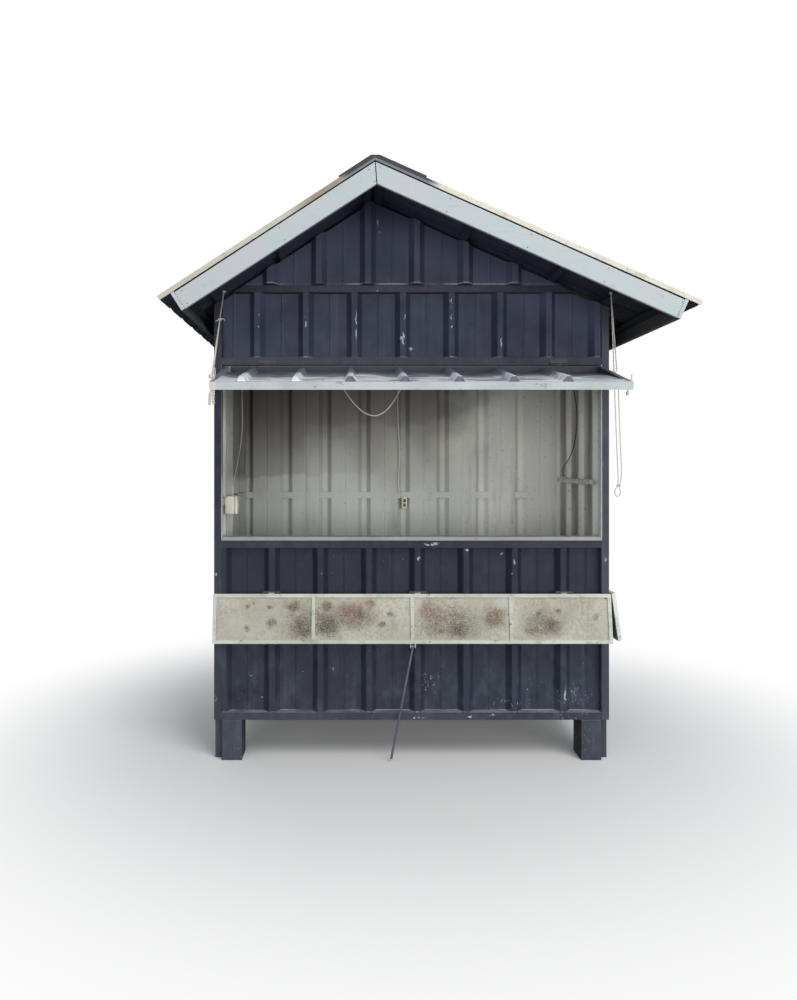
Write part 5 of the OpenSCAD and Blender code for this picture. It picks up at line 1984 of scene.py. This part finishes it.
@dataclass
class Fittings:
    """Counter edge, worktop and the electric fittings inside."""

    shop: Workshop
    box: tuple[Point, Point] = ((-980, -410, 1265), (-910, -340, 1360))
    socket: tuple[Point, Point] = ((12, 432, 1246), (46, 460, 1323))
    lamp_y: tuple[float, float] = (-425.0, 215.0)
    lamp_x: float = 954.0
    lamp_z: float = 1434.0
    lamp_r: float = 14.0

    def block(self, work: bmesh.types.BMesh, low: Point, high: Point, round_by: float) -> None:
        """Adds a rounded box between two corners, in millimetres, to a mesh in the making.

        Args:
            work: the mesh in the making.
            low: its lowest corner.
            high: its highest corner.
            round_by: radius of its edges.
        """
        corners = [at(x, y, z) for x, y, z in itertools.product(*zip(low, high))]
        points = [work.verts.new(c) for c in corners]
        sides = [(0, 1, 3, 2), (4, 6, 7, 5), (0, 4, 5, 1), (2, 3, 7, 6), (0, 2, 6, 4), (1, 5, 7, 3)]
        faces = [work.faces.new([points[i] for i in side]) for side in sides]
        edges = list({e for f in faces for e in f.edges})
        bmesh.ops.bevel(
            work, geom=edges, offset=round_by / 1000, segments=3, profile=0.5, affect="EDGES",
            clamp_overlap=True,
        )

    def piece(
        self, name: str, finish: Material, blocks: list[tuple[Point, Point, float]], *nodes: str
    ) -> Object:
        """A plastic fitting made of rounded blocks.

        Args:
            name: the piece's name.
            finish: the material.
            blocks: two corners and the edge radius of each block.
            nodes: the CAD nodes that it stands for.

        Returns:
            The piece.
        """
        work = bmesh.new()
        for low, high, round_by in blocks:
            self.block(work, low, high, round_by)
        bmesh.ops.recalc_face_normals(work, faces=work.faces)
        mesh = bpy.data.meshes.new(name)
        work.to_mesh(mesh)
        work.free()
        mesh.materials.append(finish)
        return seat(new_object(name, mesh), "kiosk", "switch_plastic", *nodes)

    def switch_box(self) -> None:
        """Box with a lid, a seam and two rockers."""
        f = self.shop.finishes
        (x0, y0, z0), (x1, y1, z1) = self.box
        case = [((x0, y0, z0), (x1 - 18, y1, z1), 5), ((x1 - 16, y0, z0), (x1 - 2, y1, z1), 5)]
        seam = [((x0 + 4, y0 + 3, z0 + 3), (x1 - 10, y1 - 3, z1 - 3), 2)]
        rockers = [((x1 - 4, y0 + dy, z0 + 34), (x1, y0 + dy + 18, z0 + 64), 2) for dy in (14, 38)]
        self.piece("switch_box_case", f.plastic, case, "switch_box")
        self.piece("switch_box_seam", f.seam, seam)
        self.piece("switch_box_rockers", f.lamp, rockers)

    def wall_socket(self) -> None:
        """Socket with a raised face plate and two rockers."""
        f = self.shop.finishes
        (x0, y0, z0), (x1, y1, z1) = self.socket
        case = [((x0, y0 + 5, z0), (x1, y1, z1), 4), ((x0 + 2, y0 + 2, z0 + 3), (x1 - 2, y0 + 9, z1 - 3), 2)]
        rockers = [((x0 + 9, y0, z0 + dz), (x1 - 9, y0 + 5, z0 + dz + 20), 1.5) for dz in (14, 43)]
        self.piece("wall_socket_case", f.plastic, case, "wall_socket")
        self.piece("wall_socket_rockers", f.seam, rockers)

    def wall_lamp(self) -> None:
        """Lamp tube with metal end caps, over its CAD clips."""
        dress("wall_lamp", self.shop.finishes.lamp)
        rings = []
        for y, way in ((self.lamp_y[0], 1), (self.lamp_y[1], -1)):
            ends = (y - 0.4 * way, y + 26 * way)
            rings.append((at(self.lamp_x, min(ends), self.lamp_z), at(self.lamp_x, max(ends), self.lamp_z)))
        points = [p for ring in rings for p in ring]
        seed = mesh_of("lamp_end_rings", points, [], [(0, 1), (2, 3)])
        diameter = (self.lamp_r * 2 + 0.6) / 1000
        values = {"Diameter": diameter, "Lay": 1.0, "Finish": self.shop.finishes.tube_end}
        seat(self.shop.plain.grow("lamp_end_rings", seed, values), "kiosk", "lamp_tube")

    def build(self) -> None:
        """Dresses the counter and the fittings."""
        f = self.shop.finishes
        Softening(0.002).copy_of("sill_cap", f.counter, "counter_edge")
        Softening(0.002).copy_of("worktop", f.worktop, "board")
        self.switch_box()
        self.wall_socket()
        self.wall_lamp()


# Studio


@dataclass
class Studio:
    """Camera at the photograph's place, plain pale floor and soft lamps."""

    eye: Point = (-318.0, -4500.0, 1519.0)
    focal: float = 775.0
    vanish: tuple[float, float] = (350.0, 466.0)
    wide: float = 797.0
    high: float = 1000.0
    film: float = 36.0

    def camera(self) -> None:
        """Sets the camera level, looking square at the front, with the picture moved over."""
        data = bpy.data.cameras.new("view")
        data.sensor_fit = "AUTO"
        data.sensor_width = self.film
        data.lens = self.focal / self.high * self.film
        data.shift_x = (self.wide / 2 - self.vanish[0]) / self.high
        data.shift_y = (self.vanish[1] - self.high / 2) / self.high
        data.clip_end = 200.0
        eye = bpy.data.objects.new("view", data)
        eye.location = at(*self.eye)
        eye.rotation_euler = (math.radians(90), 0, 0)
        bpy.context.scene.collection.objects.link(eye)
        bpy.context.scene.camera = eye

    def lamp(self, name: str, place: Point, size: tuple[float, float], power: float, colour: Point) -> None:
        """A flat lamp that looks at the middle of the cabin.

        Args:
            name: the lamp's name.
            place: its place, in metres.
            size: its width and height.
            power: its power in watts.
            colour: its colour.
        """
        data = bpy.data.lights.new(name, "AREA")
        data.shape = "RECTANGLE"
        (data.size, data.size_y), data.energy, data.color = size, power, colour
        lamp = bpy.data.objects.new(name, data)
        lamp.location = place
        lamp.rotation_euler = (Vector((0, 0, 1.3)) - Vector(place)).to_track_quat("-Z", "Y").to_euler()
        bpy.context.scene.collection.objects.link(lamp)

    def world(self) -> None:
        """White to the eye and in reflections, a soft grey sky to everything else."""
        world = bpy.data.worlds.new("sky")
        bpy.context.scene.world = world
        world.use_nodes = True
        graph = Graph(world.node_tree)
        path = graph.add("ShaderNodeLightPath")
        seen = graph.maths("MAXIMUM", path.outputs["Is Camera Ray"], path.outputs["Is Transmission Ray"])
        sky = graph.add("ShaderNodeBackground", {"Color": (0.86, 0.93, 1.0, 1.0), "Strength": 0.4})
        white = graph.add("ShaderNodeBackground", {"Color": (1, 1, 1, 1), "Strength": 1.0})
        both = graph.add("ShaderNodeMixShader", {0: seen, 1: sky.outputs[0], 2: white.outputs[0]})
        graph.add("ShaderNodeOutputWorld", {0: both.outputs[0]})

    def floor(self) -> None:
        """A wide round floor, pale to the eye, greyer in what it throws back."""
        radius, corners = 40, 96
        turns = [math.tau * k / corners for k in range(corners)]
        points = [Vector((radius * math.cos(turn), radius * math.sin(turn), 0)) for turn in turns]
        floor = new_object("floor", mesh_of("floor", points, [tuple(range(corners))]))
        material = bpy.data.materials.new("floor_pale")
        material.use_nodes = True
        graph = Graph(material.node_tree)
        by_eye = graph.add("ShaderNodeLightPath").outputs["Is Camera Ray"]
        tones = {6: (0.26, 0.26, 0.25, 1), 7: (1.0, 0.985, 0.97, 1)}
        seen = graph.add("ShaderNodeMix", {0: by_eye, **tones}, data_type="RGBA")
        body = graph.add("ShaderNodeBsdfDiffuse", {0: seen.outputs[2]})
        place = graph.add("ShaderNodeTexCoord").outputs["Object"]
        away = graph.vector("LENGTH", place).outputs["Value"]
        inputs = {"Value": away, "From Min": 1.1, "From Max": 3.0}
        fade = graph.add("ShaderNodeMapRange", inputs, interpolation_type="SMOOTHSTEP")
        share = graph.maths("MULTIPLY", fade.outputs["Result"], by_eye)
        white = graph.add("ShaderNodeEmission", {"Color": (1, 1, 1, 1), "Strength": 1.0})
        both = graph.add("ShaderNodeMixShader", {0: share, 1: body.outputs[0], 2: white.outputs[0]})
        graph.add("ShaderNodeOutputMaterial", {0: both.outputs[0]})
        floor.data.materials.append(material)

    def build(self) -> None:
        """Sets up the whole studio."""
        self.camera()
        self.world()
        self.floor()
        self.lamp("low", (4.4, -9.5, 1.8), (9.0, 3.2), 440.0, (1.0, 0.99, 0.98))
        self.lamp("high", (3.2, -6.0, 8.0), (5.0, 5.0), 330.0, (1.0, 0.99, 0.98))
        self.lamp("fill", (-3.8, -9.0, 1.8), (5.0, 3.2), 190.0, (0.96, 0.98, 1.0))
        bpy.context.scene.view_settings.view_transform = "Standard"


def main() -> None:
    """Builds the studio and then each part of the kiosk."""
    logging.basicConfig(level=logging.INFO, format="%(name)s: %(message)s")
    Studio().build()
    shop = Workshop(Finishes())
    for part in (Ropes, Cables, Cabin, Roof, Awning, Ledges, Fittings):
        part(shop).build()
        LOG.info("%s done", part.__name__)


if __name__ == "__main__":
    main()
